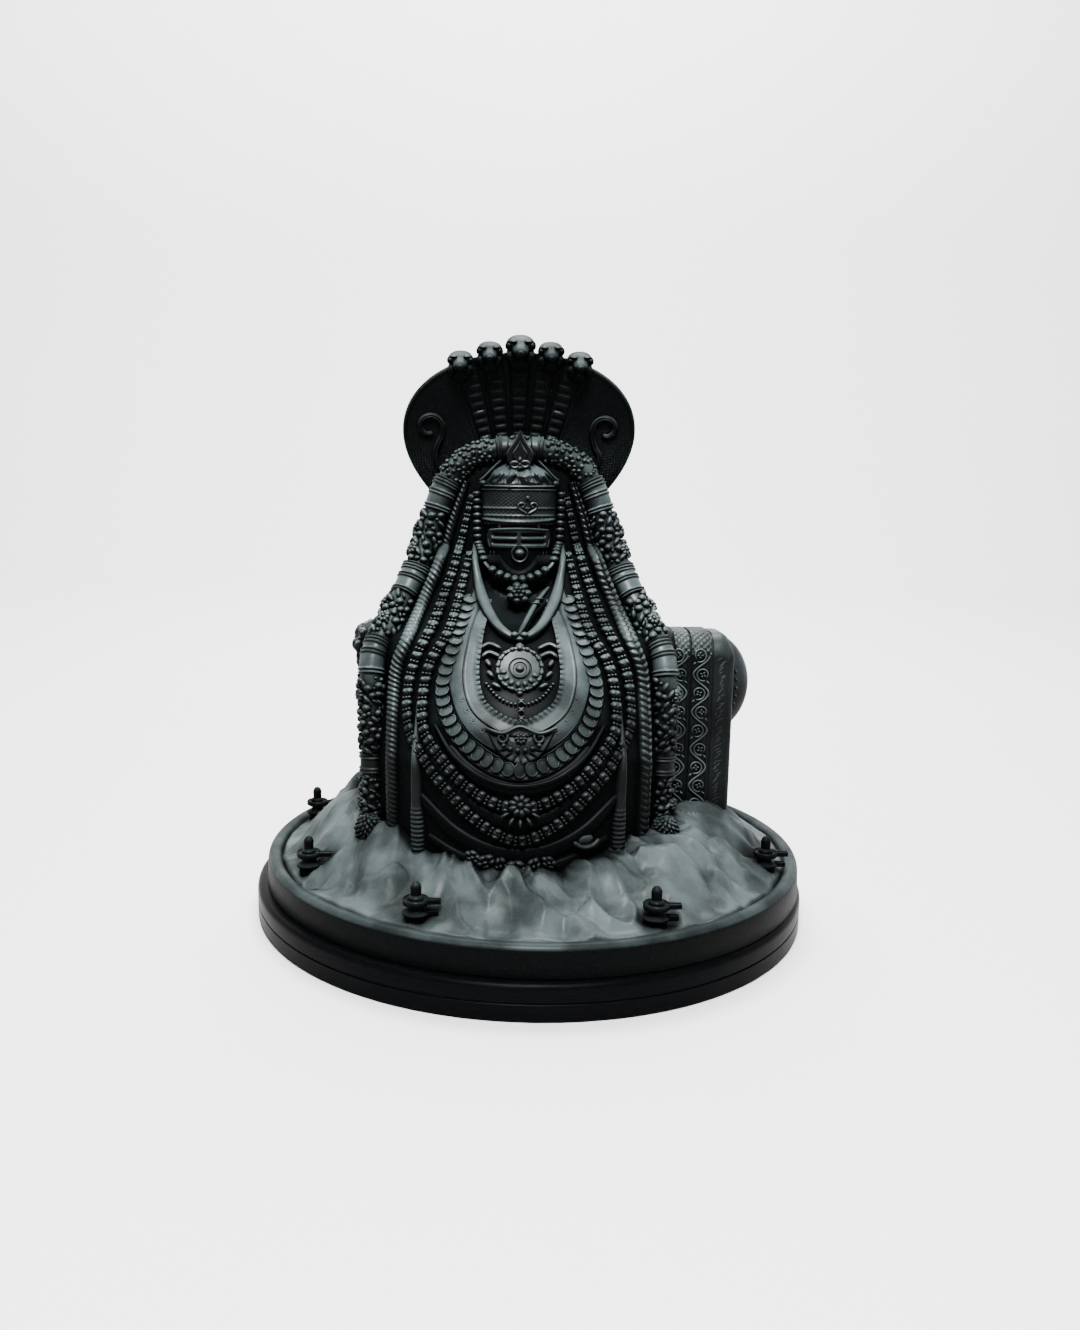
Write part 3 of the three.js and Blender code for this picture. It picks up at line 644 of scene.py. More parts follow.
def figure_paint(name, light_and_wear, reach, foot_light_share=1.0, tilt=0.05, index=1.12, sheen=0.34, grey=LIT_AND_WORN_GREY):
    """Satin black on cast marble dust, painted a soft grey where it faces up and stands open: partly wear,
    partly painted light from the overhead lamps, with painted shade keeping hollows black.
    rub is how much grey is painted, foot_light_share the share of that at the foot of the dress, left darker
    as painted shade, and reach how deep a hollow stays black as painted shade. The grey starts where the
    normal's z is tilt. sheen is how much a place painted grey shines."""
    paint = Paint(name, IOR=index, Coat_Roughness=0.32)
    bloom = paint.noise(90, 3)
    fine = paint.noise(2600, 3, 0.6)
    pits = paint.noise(900, 2)
    # Less grey low on the dress: painted shade where the light falls off towards its foot.
    light_and_wear_by_height = paint.height(SHADED_FOOT_HEIGHT, FULLY_LIT_HEIGHT) * (light_and_wear - light_and_wear * foot_light_share) + light_and_wear * foot_light_share
    patches = paint.eased(bloom, 0.3, 0.7) * 0.75 + fine * 0.4 + 0.1
    # Grey where the surface faces up and stands open: painted light from above, painted shade kept black in
    # hollows, and partly wear.
    lit_and_rubbed = paint.upward(tilt, 0.6) * paint.openness(reach) * patches * light_and_wear_by_height
    colour = paint.blend(lit_and_rubbed, BLACK, grey)
    # The coat shines on the same painted-light places.
    paint.feed(paint.shader.inputs["Coat Weight"], lit_and_rubbed * sheen)
    return paint.finish(colour, bloom * 0.12 + fine * 0.12 + 0.4, fine * 0.6 + pits * 0.8, 0.00007)


def plinth_paint():
    """Satin black brushed on round the turned plinth."""
    paint = Paint("plinth_paint", IOR=1.07)
    streaks = paint.noise(220, 3, 0.6, (1, 1, 14))
    specks = paint.noise(1500, 1)
    colour = paint.blend(streaks, (0.0005, 0.0006, 0.0008), (0.0013, 0.0015, 0.0018))
    return paint.finish(colour, streaks * 0.16 + 0.3, specks * 0.3 + streaks, 0.00003)


def floor_paint():
    paint = Paint("floor_paint", Specular_IOR_Level=0.1)
    tone = paint.noise(3, 1)
    return paint.finish(paint.blend(tone, (0.6, 0.6, 0.6), (0.63, 0.63, 0.63)), 0.9)


# Pieces
def make_plinth(paint):
    rounding = np.radians(np.linspace(0, 90, 7))
    groove = np.linspace(-1, 1, 9)
    profile = [[0.01, 0], [PLINTH_RADIUS - SEAM_DEPTH, 0], [PLINTH_RADIUS, SEAM_DEPTH]]
    profile += [
        [PLINTH_RADIUS - SEAM_DEPTH * np.cos(np.pi / 2 * at) ** 2, SEAM_HEIGHT + SEAM_WIDTH / 2 * at]
        for at in groove
    ]
    shoulder = PLINTH_SHOULDER * (1 - np.stack([np.cos(rounding), np.sin(rounding)], -1))
    profile += list([PLINTH_RADIUS, PLINTH_HEIGHT] - shoulder)
    profile.append([0.01, PLINTH_HEIGHT])
    piece("plinth_turned", [lathe(profile, 320)], paint, (0, 0, 0), "plinth", 30)


def make_drum(paint):
    """The casting's drum and its rounded rim."""
    rounding = RIM_WIDTH * 0.6
    crest = CASTING_RADIUS - rounding - 0.3
    level = rim_top - RIM_DROP - 0.9
    profile = [[CASTING_RADIUS - 0.3, 0], [CASTING_RADIUS, 0.4]]
    for tilt in np.radians(np.linspace(0, 90, 9)):
        profile.append([crest + rounding * np.cos(tilt), rim_top - rounding * (1 - np.sin(tilt))])
    for tilt in np.radians(np.linspace(108, 165, 5)):
        profile.append([crest + (ground_edge - crest) * -np.cos(tilt), lerp(level, rim_top, np.sin(tilt))])
    profile.append([ground_edge - 0.5, level - 0.4])
    piece("drum", [lathe(profile, 480)], paint, CASTING, sharp=60)


def make_ground(paint):
    """Crumpled rocky ground that runs down to the rim."""
    columns = 800
    turn = np.arange(columns) * 2 * np.pi / columns
    rounds = turn / (2 * np.pi)
    level = rim_top - RIM_DROP - 0.9
    rings = [polar(np.full(columns, ground_edge), turn, level - 0.8)]
    for share in np.linspace(0, 1.22, 70):
        radius = lerp(ground_edge, mound_foot, share)
        down = np.full(columns, share)
        valleys = np.abs(facets(rounds * 30, down * 1.5, 5, 30)) ** 0.75
        ridges = np.abs(facets(rounds * 52, down * 2.2, 9, 52)) ** 0.75
        crumples = facets(rounds * 96, down * 4, 13, 96)
        relief = VALLEY_DEPTH * valleys - RIDGE_HEIGHT * ridges - 0.4 + CRUMPLE_DEPTH * crumples
        height = ground_height(radius, turn) + relief * (0.3 + 0.7 * ease(0, 0.3, share))
        rings.append(polar(radius, turn, lerp(level, height, ease(0, 0.05, share))))
    piece("ground", [skin(np.array(rings))], paint, CASTING, sharp=60)


def small_linga():
    """A small linga on its round pedestal, in shares of its height, with a spout to the right."""
    profile = [
        [0.3, -0.3], [0.3, 0.02], [0.38, 0.05], [0.38, 0.1], [0.28, 0.16], [0.2, 0.23], [0.2, 0.28],
        [0.31, 0.32], [0.37, 0.36], [0.38, 0.48], [0.35, 0.51], [0.33, 0.48], [0.22, 0.48], [0.215, 0.55],
        [0.18, 0.58], [0.145, 0.61], [0.155, 0.84], [0.13, 0.92], [0.08, 0.98], [0.02, 1],
    ]
    channel = np.array([[-0.13, 0.36], [0.13, 0.36], [0.13, 0.49], [0.08, 0.5], [0.05, 0.46], [-0.05, 0.46],
                        [-0.08, 0.5], [-0.13, 0.49]])
    forms = [lathe(profile, 24)]
    for reach, drop in ((0.7, 0), (0.62, 0.34)):
        rings = [
            np.stack([np.full(8, x), channel[:, 0] * narrowing, channel[:, 1] - drop], -1)
            for x, narrowing in zip(np.linspace(0.2, reach, 6), np.linspace(1, 0.7, 6))
        ]
        forms.append(skin(np.array(rings)))
    return merged(forms)


def make_small_lingas(paint):
    ring = ground_edge - SMALL_LINGA_INSET
    bearings = np.radians(SMALL_LINGA_BEARINGS)
    spots = polar(ring, bearings, ground_height(ring, bearings) + 0.3)
    forms = [moved(small_linga(), spot, SMALL_LINGA_HEIGHT) for spot in spots]
    piece("small_lingas", forms, paint, CASTING)


def make_pedestal(paint):
    """Cloth-hung pedestal: soft folds at the sides and back, and a hollow in front between the horns."""
    columns, rows, depth = 420, 100, 6
    turn = np.arange(columns) * 2 * np.pi / columns
    horn = in_mm(CRESCENT)[::-1]
    rings = []
    for z in np.linspace(tall(PEDESTAL_PROFILE[0, 0]), tall(PEDESTAL_PROFILE[-1, 0]), rows):
        share = 100 * z / CROWN_HEIGHT
        behind = ease(-0.2, 0.25, -np.cos(turn))
        fullness = np.interp(share, [-11, 30, 46, 52, 70], [0.75, 0.65, 0.3, 0.35, 0.5])
        folds = np.abs(np.sin(turn * 13 + 0.75 * np.sin(turn * 5 + share * 0.02))) ** 0.7 - 0.6
        hem = 0.5 * bump(47.2, 0.9, share) + 0.35 * bump(43.8, 0.5, share)
        radius = pedestal_radius(turn, z) + behind * (folds * fullness + hem)
        ring = polar(radius, turn, z)
        inside = ease(0, 1, np.interp(z, horn[:, 1], horn[:, 0]) - np.abs(ring[:, 0])) * ease(67, 62, z)
        inside *= (np.cos(turn) > 0) * (z > horn[0, 1])
        linga = -np.sqrt(np.maximum((LINGA_RADIUS + 0.7) ** 2 - ring[:, 0] ** 2, 0))
        ring[:, 1] = np.minimum(ring[:, 1] + depth * inside, np.maximum(ring[:, 1], linga))
        rings.append(ring)
    piece("pedestal", [skin(np.array(rings))], paint)


def make_cloak(paint):
    """Cloth over the shoulders behind the linga, in folds that fan down from the crown at the back."""
    columns = 240
    turn = np.arange(columns) * 2 * np.pi / columns
    rings = []
    for share in np.linspace(CLOAK_PROFILE[0, 0], 100, 60):
        points = cloak_point(turn, tall(share))
        behind = ease(-0.1, 0.4, -np.cos(turn))
        folds = (np.abs(np.sin(turn * 11)) ** 0.8 - 0.6) * ease(101, 80, share) * 0.8
        outward = unit(points * [1, 1, 0])
        rings.append(points + outward * (behind * folds)[:, None])
    piece("cloak", [skin(np.array(rings))], paint)


def make_linga(paint, body_paint):
    """The linga with its cloth band and curl, forehead mark, round eye and the folds under it."""
    top = tall(LINGA_SHARE)
    tilt = np.radians(np.linspace(0, 88, 10))
    profile = [[LINGA_RADIUS, z] for z in np.linspace(tall(SHOULDER_SHARE - 10), top, 30)]
    profile += [[LINGA_RADIUS * np.cos(t), top + LINGA_RADIUS * 0.56 * np.sin(t)] for t in tilt[1:]]
    piece("linga", [lathe(profile, 96)], body_paint)
    forms = []

    def band(u, z):
        lines = sum(height * bump(at, 0.26, z) for at, height in ((85.5, 0.4), (80.7, 0.2), (78.8, 0.22)))
        weave = 0.05 * np.sin(z * 7) * np.sin(u * 5)
        return 0.45 + lines + weave + 0.35 * bump(77.2 + 0.006 * u ** 2, 0.4, z)

    def mark(u, z):
        lanes = np.maximum(bump(73.8, 0.4, z), bump(71.9, 0.4, z))
        slots = lanes * ease(0.4, 0.9, np.abs(u)) * ease(7.3, 6.6, np.abs(u))
        return 0.75 - 0.85 * slots

    arch = 0.4
    mark_across = np.linspace(-MARK_HALF_WIDTH, MARK_HALF_WIDTH, 110)
    forms.append(sheet(linga_face, np.linspace(-11, 11, 72), np.linspace(BAND_FOOT, BAND_TOP, 62), band))
    forms.append(sheet(linga_face, mark_across, np.linspace(MARK_FOOT, MARK_TOP, 44), mark))
    top_bar = [[-7.9, 75], [-4, 75 + arch * 0.7], [0, 75 + arch], [4, 75 + arch * 0.7], [7.9, 75]]
    forms.append(wire(linga_face, top_bar, 0.42, proud=0.6, sides=8, ends=0.7))
    for side in (-1, 1):
        edge = [[side * 7.8, 70.7], [side * 8.4, 72.9], [side * 7.8, 75]]
        forms.append(wire(linga_face, edge, 0.4, proud=0.5, sides=8))
        forms.append(wire(linga_face, [[side * 5.1, 75], [side * 5.1, 76.5]], 0.4, proud=0.4))
        for inset, radius in ((0, 0.3), (1.1, 0.24)):
            fold = [
                [side * (7.9 - inset), 69.6], [side * (7.4 - inset), 67.2],
                [side * (5.6 - inset * 0.8), 65], [side * (2.8 - inset * 0.5), 63.9],
            ]
            forms.append(wire(linga_face, fold, radius, proud=0.2, ends=0.5))
        curl = np.vstack([spiral(1.1, 1.15, side, 170) + [2 + side * 1.35, 81.4], [[2 + side * 0.2, 79.4]]])
        forms.append(wire(linga_face, curl, 0.36, 0.2, 0.75, 6, 0.7))
    place, way = set_on(linga_face, 2, 83.3, 0.6)
    forms.append(stamp(ball(8, 5), place, way, (0.55, 0.8, 0.5)))
    socket = lathe([[2.3, -0.5], [2.3, 0.5], [2.1, 0.85], [1.85, 0.75], [1.65, -0.1], [0.3, -0.1]], 28)
    place, way = set_on(linga_face, *EYE_PLACE, 0.15)
    forms.append(stamp(socket, place, way))
    forms.append(stamp(ball(18, 9, -20), place, way, (1.4, 1.4, 1.4)))
    piece("linga_marks", forms, paint, sharp=40)


def make_hair_cap(paint):
    """Rough cap over the linga's brow: tufts at its lower edge, and a knob and a thread at each side."""
    around = np.linspace(-1, 1, 130)
    rings = []
    for share in np.linspace(0, 1, 60):
        half = lerp(10.4, 5.6, share ** 1.3) + 0.25 * np.sin(share * 11)
        strands = np.abs(grain(around * 30, np.full(130, share * 3), 21))
        tufts = grain(around * 8, np.full(130, share * 3), 22)
        rough = (0.35 * strands * (1 - 0.5 * share) + 0.6 * tufts) * ease(-0.05, 0.2, share)
        out = 0.9 * (1 - around ** 4) * (1 - 0.4 * share) + rough
        radius = LINGA_RADIUS * (1 - 0.45 * ease(0.35, 1.25, share))
        rings.append(polar(radius + out, around * half / LINGA_RADIUS, lerp(HAIR_FOOT, HAIR_TOP, share)))
    surface = np.array(rings)
    forms = [skin(np.concatenate([surface, (surface * [0.8, 0.8, 1])[:, ::-1]], axis=1))]
    forms.append(wire(linga_face, [[-10.6, 86.5], [0, 86.3], [10.6, 86.5]], 0.35, proud=0.75))
    for side in (-1, 1):
        place, way = set_on(linga_face, side * 10.2, 87.1, 0.7)
        forms.append(stamp(ball(12, 6), place, way, (1.1, 0.9, 1)))
        thread = [[side * 4.6, HAIR_TOP], [side * 7.2, 90.2], [side * 9.9, 87.6]]
        forms.append(wire(front, thread, 0.38, proud=1.6))
    place, way = set_on(linga_face, -2.3, 86.2, 0.8)
    forms.append(stamp(ball(8, 5), place, way, (0.9, 0.5, 0.5)))
    piece("hair_cap", forms, paint)


def teardrop(height, swell, steps=20):
    """Outline points of a leaf that swells low down and draws up to a flame tip."""
    t = np.linspace(0, 1, steps)
    levels = [0, 0.1, 0.25, 0.4, 0.55, 0.7, 0.85, 1]
    half = height * swell * np.interp(t, levels, [0.3, 0.6, 0.95, 1, 0.8, 0.47, 0.2, 0])
    z = height * t
    return np.concatenate([np.stack([half, z], -1), np.stack([-half, z], -1)[-2:0:-1]])


def plate(outline, depth, bevel=0.3):
    """A flat form from an outline in x and z, facing the front, with a bevelled edge."""
    middle = outline.mean(0)
    rings = []
    for inset, y in ((0, depth), (0, bevel), (bevel, 0), (bevel * 3, 0.05)):
        size = np.linalg.norm(outline - middle, axis=1, keepdims=True)
        points = middle + (outline - middle) * np.maximum(1 - inset / np.maximum(size, 1e-6), 0)
        rings.append(np.stack([points[:, 0], np.full(len(points), y), points[:, 1]], -1))
    return skin(np.array(rings))


def make_leaf(paint):
    """Flame-shaped leaf over the linga: nested drops, and a bow with two open loops at its foot."""
    foot = tall(93.8) - 0.9
    forms = []
    for height, lift, depth in ((LEAF_HEIGHT * 1.08, 0, 0), (LEAF_HEIGHT * 0.6, 2, -0.7)):
        drop = plate(teardrop(height, 0.35), 5, 0.28)
        forms.append(moved(drop, [0, depth - wide(23), foot + lift]))
    ring = np.linspace(0, 2 * np.pi, 17)
    for side in (-1, 1):
        across = side * (1.35 + 1.05 * np.cos(ring))
        loop = np.stack([across, foot + 1.6 + 0.75 * np.sin(ring) + side * 0.1], -1)
        forms.append(wire(leaf_face, loop, 0.36, 0.25, 0.5))
    for x, lift, size in ((0, 2.5, (0.5, 0.7, 1.1)), (0, 0.7, (0.75, 0.7, 0.6)), (0, 1.5, (0.5, 0.8, 0.5))):
        forms.append(moved(ball(10, 6), leaf_face(x, foot + lift) - [0, 0.5, 0], size))
    piece("leaf", forms, paint)


def spout_vine(middle, top):
    """A vine that winds up a column of the spout's cloth, with a curl, a rosette and a leaf at each bend."""
    run = np.linspace(0, VINE_CELLS, VINE_CELLS * 10 + 1)
    stem = np.stack([middle + VINE_SWAY * np.sin(np.pi * (run + 0.5)), top + VINE_PITCH * (0.5 - run)], -1)
    forms = [wire(spout_face, stem, 0.32, 0.3, 0.75, 8)]
    for k in range(VINE_CELLS + 1):
        side = -1 if k % 2 else 1
        centre = np.array([middle - side * 0.45, top + VINE_PITCH * (0.5 - k)])
        curl = spiral(0.9, VINE_CURL, side, 200, eye=0.72) + centre
        forms.append(wire(spout_face, curl, 0.26, 0.3, 0.75, 8, 0.7))
        for petal in range(4):
            turn = np.pi / 2 * petal + 0.5 * k
            aside = 0.52 * np.array([np.sin(turn), np.cos(turn)])
            spot, way = set_on(spout_face, *(centre + aside), 0.8, 90 - np.degrees(turn))
            forms.append(stamp(ball(7, 4), spot, way, (0.46, 0.3, 0.5)))
        leaf, way = set_on(spout_face, middle - side * 1.9, centre[1] - VINE_PITCH / 2 + 0.4, 0.5, side * 50)
        forms.append(stamp(ball(7, 4), leaf, way, (0.7, 0.3, 0.45)))
    return forms


def make_spout(paint, vine_paint):
    """Cloth hung straight over the spout: two columns of winding vine, a plain strip and a rounded nose."""
    half = SPOUT_WIDTH / 2
    top, foot = tall(SPOUT_TOP_SHARE), tall(PEDESTAL_PROFILE[0, 0])
    bend_foot, bend_end = top - SPOUT_ROUNDING, top + SPOUT_ROUNDING * (np.pi / 2 - 1)
    steps = np.radians(np.linspace(0, 90, 7))
    bend = np.radians(np.linspace(0, 90, 12))
    levels = [foot, *(top - SPOUT_ROUNDING * (1 - np.sin(bend)))]
    insets = [0, *(SPOUT_ROUNDING * (1 - np.cos(bend)))]
    rings = []
    for z, inset in zip(levels, insets):
        ring = []
        for quarter, (end, side) in enumerate(((1, 1), (-1, 1), (-1, -1), (1, -1))):
            turn = np.pi / 2 * quarter + steps
            x = SPOUT_REACH / 2 + end * (SPOUT_REACH / 2 - inset - SPOUT_CORNER) + SPOUT_CORNER * np.cos(turn)
            y = side * (half - inset - SPOUT_CORNER) + SPOUT_CORNER * np.sin(turn)
            ring.append(np.stack([x, y, np.full(len(x), z)], -1))
        rings.append(np.concatenate(ring))
    forms = [skin(np.array(rings))]

    def net(x, run):
        """A net of ovals where the cloth bends over the top, and plain cloth below."""
        knots = np.sqrt(np.abs(np.sin(np.pi * (x + run) / 1.7) * np.sin(np.pi * (x - run) / 1.7)))
        return 0.35 + 0.45 * knots * ease(bend_foot - 0.5, bend_foot + 0.5, run)

    def plain(x, run):
        return 0.3 + 0.04 * grain(x * 2, run * 0.6, 31) - 0.35 * bump(57.2, 0.2, x) * (run > bend_foot)

    crest = bend_end + half - SPOUT_ROUNDING
    up = np.concatenate([np.linspace(foot, bend_foot - 1, 12), np.linspace(bend_foot - 0.6, crest, 50)])
    panels = [sheet(spout_face, np.linspace(*edges, 30), up, net, 0.3) for edges in SPOUT_COLUMNS]
    strip = np.linspace(SPOUT_STRIP_START, SPOUT_REACH - SPOUT_CORNER, 24)
    panels.append(sheet(spout_face, strip, up, plain, 0.3))
    for x in np.ravel(SPOUT_COLUMNS) + SPOUT_SEAM_INSET * np.array([1, -1, 1, -1]):
        panels.append(wire(spout_face, [[x, foot], [x, 0], [x, 20], [x, crest]], 0.2, 0.8, 0.45, 6))
    vines = [form for edges in SPOUT_COLUMNS for form in spout_vine(sum(edges) / 2, bend_foot - 1.9)]
    # Short slanting strokes up the plain strip
    chance = np.random.default_rng(8)
    for z in np.arange(foot + 3, bend_foot, 0.75):
        x = 53.2 + chance.uniform(0, 1.6)
        stroke = [[x, z], [x + chance.uniform(0.7, 1.5), z + chance.uniform(0.7, 1.3)]]
        vines.append(wire(spout_face, stroke, 0.15, 0.4, 0.3, 4, 0.4))
    shown = merged(panels)
    forms += [shown, (shown[0] * [1, -1, 1], shown[1])]
    nose = np.array([SPOUT_NOSE + NOSE_ROOT, half - NOSE_MARGIN, half * 1.5])
    nose_middle = np.array([SPOUT_REACH - NOSE_ROOT, 0, top - nose[2]])
    forms.append(moved(ball(48, 28), nose_middle, nose))
    # A row of beads down the nose, where it turns to the front
    turn = np.radians(52)
    for tilt in np.radians(np.linspace(-38, 16, 7)):
        out = np.array([np.cos(tilt) * np.cos(turn), -np.cos(tilt) * np.sin(turn), np.sin(tilt)])
        forms.append(moved(ball(8, 5), nose_middle + out * nose, (0.45, 0.5, 0.6)))
    piece("spout_cloth", forms, paint, sharp=40)
    piece("spout_vines", vines, vine_paint)


def hood_relief(degrees, r):
    """How far the carving stands off the hood's face."""
    relief = np.zeros(np.shape(degrees))
    beat = (r / PLATE_HEIGHT) % 1
    plates = np.sqrt(np.clip(1 - (2 * beat - 1) ** 2, 0, 1))
    for k in range(-2, 3):
        across = np.abs(degrees - BELT_PITCH * k)
        dome = plates * np.sqrt(np.clip(1 - (across / BELT_HALF_WIDTH) ** 2, 0, 1))
        belt = ease(BELT_HALF_WIDTH, 2.35, across) * (BELT_RELIEF * 0.6 + 0.5 * dome)
        relief = np.maximum(relief, belt)
        ridges = 0.5 * bump(BELT_PITCH / 2, 0.35, across) * (np.abs(degrees) < 2.7 * BELT_PITCH)
        relief = np.maximum(relief, ridges)
    lobe = ease(2.45 * BELT_PITCH, 2.8 * BELT_PITCH, np.abs(degrees))
    sideways = np.radians(degrees) * HOOD_RADIUS * 0.8
    p, q = (sideways + r) / 1.1, (sideways - r) / 1.1
    strength = 0.22 + 0.3 * ease(44, 30, r) + 0.25 * ease(35, 50, np.abs(degrees))
    scales = np.sqrt(np.abs(np.sin(np.pi * p) * np.sin(np.pi * q))) * strength
    roll = 0.6 * bump(0.8, 0.7, hood_reach(degrees) - r)
    return np.maximum(relief, lobe * np.maximum(scales, roll))


def make_hood(paint):
    """The hood with its belts of plates, net of scales, rolled edge and two scrolls."""
    columns, face_rows, back_rows = 330, 112, 24
    root = HOOD_RADIUS * 0.3
    degrees = np.linspace(-1, 1, columns)
    degrees = HOOD_SPREAD * np.sign(degrees) * np.abs(degrees) ** 0.92
    rings = []
    for angle in degrees:
        reach = max(hood_reach(angle), root * 1.1)
        r = lerp(root, reach, np.linspace(0, 1, face_rows))
        edge = np.sqrt(np.clip((reach - r) / 1.2, 0, 1))
        face = hood_point(angle, r, 0.9 * (1 - edge) - hood_relief(np.full(face_rows, angle), r))
        back_r = lerp(reach, root, np.linspace(0.004, 1, back_rows))
        rounding = np.sqrt(np.clip((reach - back_r) / 7, 0, 1))
        aside = np.abs((angle + BELT_PITCH / 2) % BELT_PITCH - BELT_PITCH / 2)
        notches = 0.6 + 0.4 * np.abs(np.sin(np.pi * back_r / PLATE_HEIGHT))
        spine = 0.5 * ease(1.6, 0.6, aside) * (abs(angle) < 2.5 * BELT_PITCH) * notches
        back = hood_point(angle, back_r, 0.9 + (HOOD_THICKNESS - 0.9) * rounding + spine)
        rings.append(np.concatenate([face, back]))
    forms = [skin(np.array(rings))]
    for side, middle, tail in ((1, (-24.4, 102.2), ((3.4, -2.4), (2.1, -5.2), (1.8, -8), (2.5, -11.2))),
                               (-1, (23.7, 101.9), ((3.6, -2), (2.9, -4.6), (1.7, -7), (1.9, -10)))):
        path = np.vstack([spiral(0.85, 3.6, side, 95, eye=0.45), np.array(tail) * [side, 1]]) + middle
        forms.append(wire(hood_face, path, 0.8, 0.35, 0.6, 10, 0.9))
        for share in (0.9, 1.08):
            hook = np.vstack([spiral(0.85, 3.6, side, 95, eye=0.45) * share, np.array(tail) * [side, 1]])
            hook[SCROLL_STEPS:, 0] += side * (share - 1) * 4
            forms.append(wire(hood_face, hook + middle, 0.24, 0.35, 1.3, 6, 0.6))
    piece("hood", forms, paint, sharp=65)


def cobra_head(width):
    """A cobra's head looking forward: domed skull, ringed eyes, blunt snout with nostrils, tucked chin."""
    sections = np.array([
        [0.54, 0.3, 0.3, 0], [0.2, 0.48, 0.36, 0.04], [-0.2, 0.46, 0.32, 0.01], [-0.48, 0.29, 0.24, -0.05],
        [-0.74, 0.22, 0.16, -0.1], [-0.84, 0.1, 0.07, -0.12],
    ])
    ring = oval(28)
    boxy = np.sign(ring) * np.abs(ring) ** 0.85
    rings = []
    for y, half_width, half_height, lift in smooth_path(sections * width, 5):
        jaw = np.where(boxy[:, 1] < -0.2, 0.86, 1)
        lip = 1 - 0.09 * bump(-0.3, 0.13, ring[:, 1]) * (y < -0.1 * width)
        sideways = half_width * boxy[:, 0] * jaw * lip
        rings.append(np.stack([sideways, np.full(28, y), lift + half_height * boxy[:, 1]], -1))
    forms = [skin(np.array(rings))]
    eye = lathe([
        [0.17, -0.14], [0.17, 0.03], [0.145, 0.05], [0.125, -0.03], [0.1, -0.05], [0.09, 0.04],
        [0.055, 0.085], [0.02, 0.1],
    ], 16)
    for side in (-1, 1):
        out = unit(np.array([side * 0.6, -0.78, 0.22]))
        across = unit(np.cross([0, 0, 1], out))
        way = np.stack([across, np.cross(out, across), out], -1)
        forms.append(stamp(eye, np.array([side * 0.37, -0.38, 0.11]) * width, way, width * 0.95))
        brow = np.array([side * 0.24, -0.3, 0.24]) * width
        forms.append(moved(ball(12, 7), brow, np.array([0.13, 0.26, 0.07]) * width))
        cheek = np.array([side * 0.32, -0.14, -0.24]) * width
        forms.append(moved(ball(12, 7), cheek, np.array([0.17, 0.36, 0.3]) * width))
    forms.append(moved(ball(20, 10), np.array([0, 0.1, -0.35]) * width, np.array([0.46, 0.32, 0.5]) * width))
    for side in (-1, 1):
        nostril = lathe([[0.07, -0.05], [0.07, 0.015], [0.05, 0.03], [0.03, -0.03], [0.01, -0.05]], 10)
        turned = np.stack([[1, 0, 0], [0, 0, 1], [0, -1, 0]], -1)
        forms.append(stamp(nostril, np.array([side * 0.105, -0.79, -0.06]) * width, turned, width))
    tilt = np.radians(14)
    turning = np.array([[1, 0, 0], [0, np.cos(tilt), -np.sin(tilt)], [0, np.sin(tilt), np.cos(tilt)]])
    points, faces = merged(forms)
    return points @ turning.T, faces


def make_heads(paint):
    forms = []
    for k in range(-2, 3):
        spot = hood_point(np.array(HEAD_PITCH * k), HOOD_RADIUS + HEAD_RISE - HEAD_FALL * abs(k))
        forms.append(moved(cobra_head(HEAD_WIDTH * (1 if k else 1.14)), spot))
    piece("cobra_heads", forms, paint, sharp=35)


def garland_line(spacing):
    """Places down one side of the garland from its crest, their ways, radii and distances from the crest."""
    degrees, r, z = GARLAND_PATH.T
    side = polar(wide(r), np.radians(degrees), tall(z))
    whole = smooth_path(np.vstack([side[::-1] * [-1, 1, 1], side[1:]]))
    run = travel(whole)
    length = run[-1] / 2
    marks = length + np.linspace(0, length, round(length / spacing) + 1)
    places = np.stack([np.interp(marks, run, column) for column in whole.T], -1)
    outward = places * [1, 1, 0] - [0, wide(1), 0]
    outward[:, 2] = np.clip(places[:, 2] - tall(72), 0, tall(20))
    radii = GARLAND_RADIUS * np.interp(marks / length - 1, *GARLAND_FULLNESS.T)
    return places, ways_along(places, unit(outward)), radii, marks - length


def scattered(length, girth, sizes, most, chance):
    """Spots [run, round, size] all over a rolled strand, the larger ones first, each clear of the others.
    most gives the largest size allowed at a run."""
    spots = np.zeros((len(sizes), 3))
    count = 0
    for size in np.sort(sizes)[::-1]:
        run, around = chance.uniform(0, length), chance.uniform(0, girth)
        gap = np.abs(spots[:count, 1] - around)
        apart = np.hypot(spots[:count, 0] - run, np.minimum(gap, girth - gap))
        if size < most(run) and np.all(apart > (spots[:count, 2] + size) * 0.93):
            spots[count] = run, around, size
            count += 1
    return spots[:count]


def flower(petals, rows=4, sides=6):
    """A flower one unit in radius that lies flat: a ring of petals round a low dome."""
    forms = [moved(ball(8, 4, 0), size=(0.36, 0.36, 0.55))]
    petal = moved(ball(sides, rows), (0.6, 0, 0.05), (0.42, 2.6 / petals, 0.36))
    forms += [moved(petal, spin=360 * k / petals) for k in range(petals)]
    return merged(forms)


def sleeve(places, ways, radii, run, start, length):
    """A tight ribbed binding round the garland."""
    inside = np.flatnonzero((run >= start - 0.1) & (run <= start + length + 0.1))
    along = run[inside] - start
    ribs = [rib for rib in (0.5, 1.35, 2.2, 3.9, 4.75) if rib < length - 4.2] + [length - 1.35, length - 0.5]
    relief = 0.4 * sum(bump(rib, 0.24, along) for rib in ribs) - 0.15
    ends = 0.7 * (bump(0, 0.25, along) + bump(length, 0.25, along))
    return strand(places[inside], ways[inside], oval(28) * (radii[inside] + relief - ends)[:, None, None])


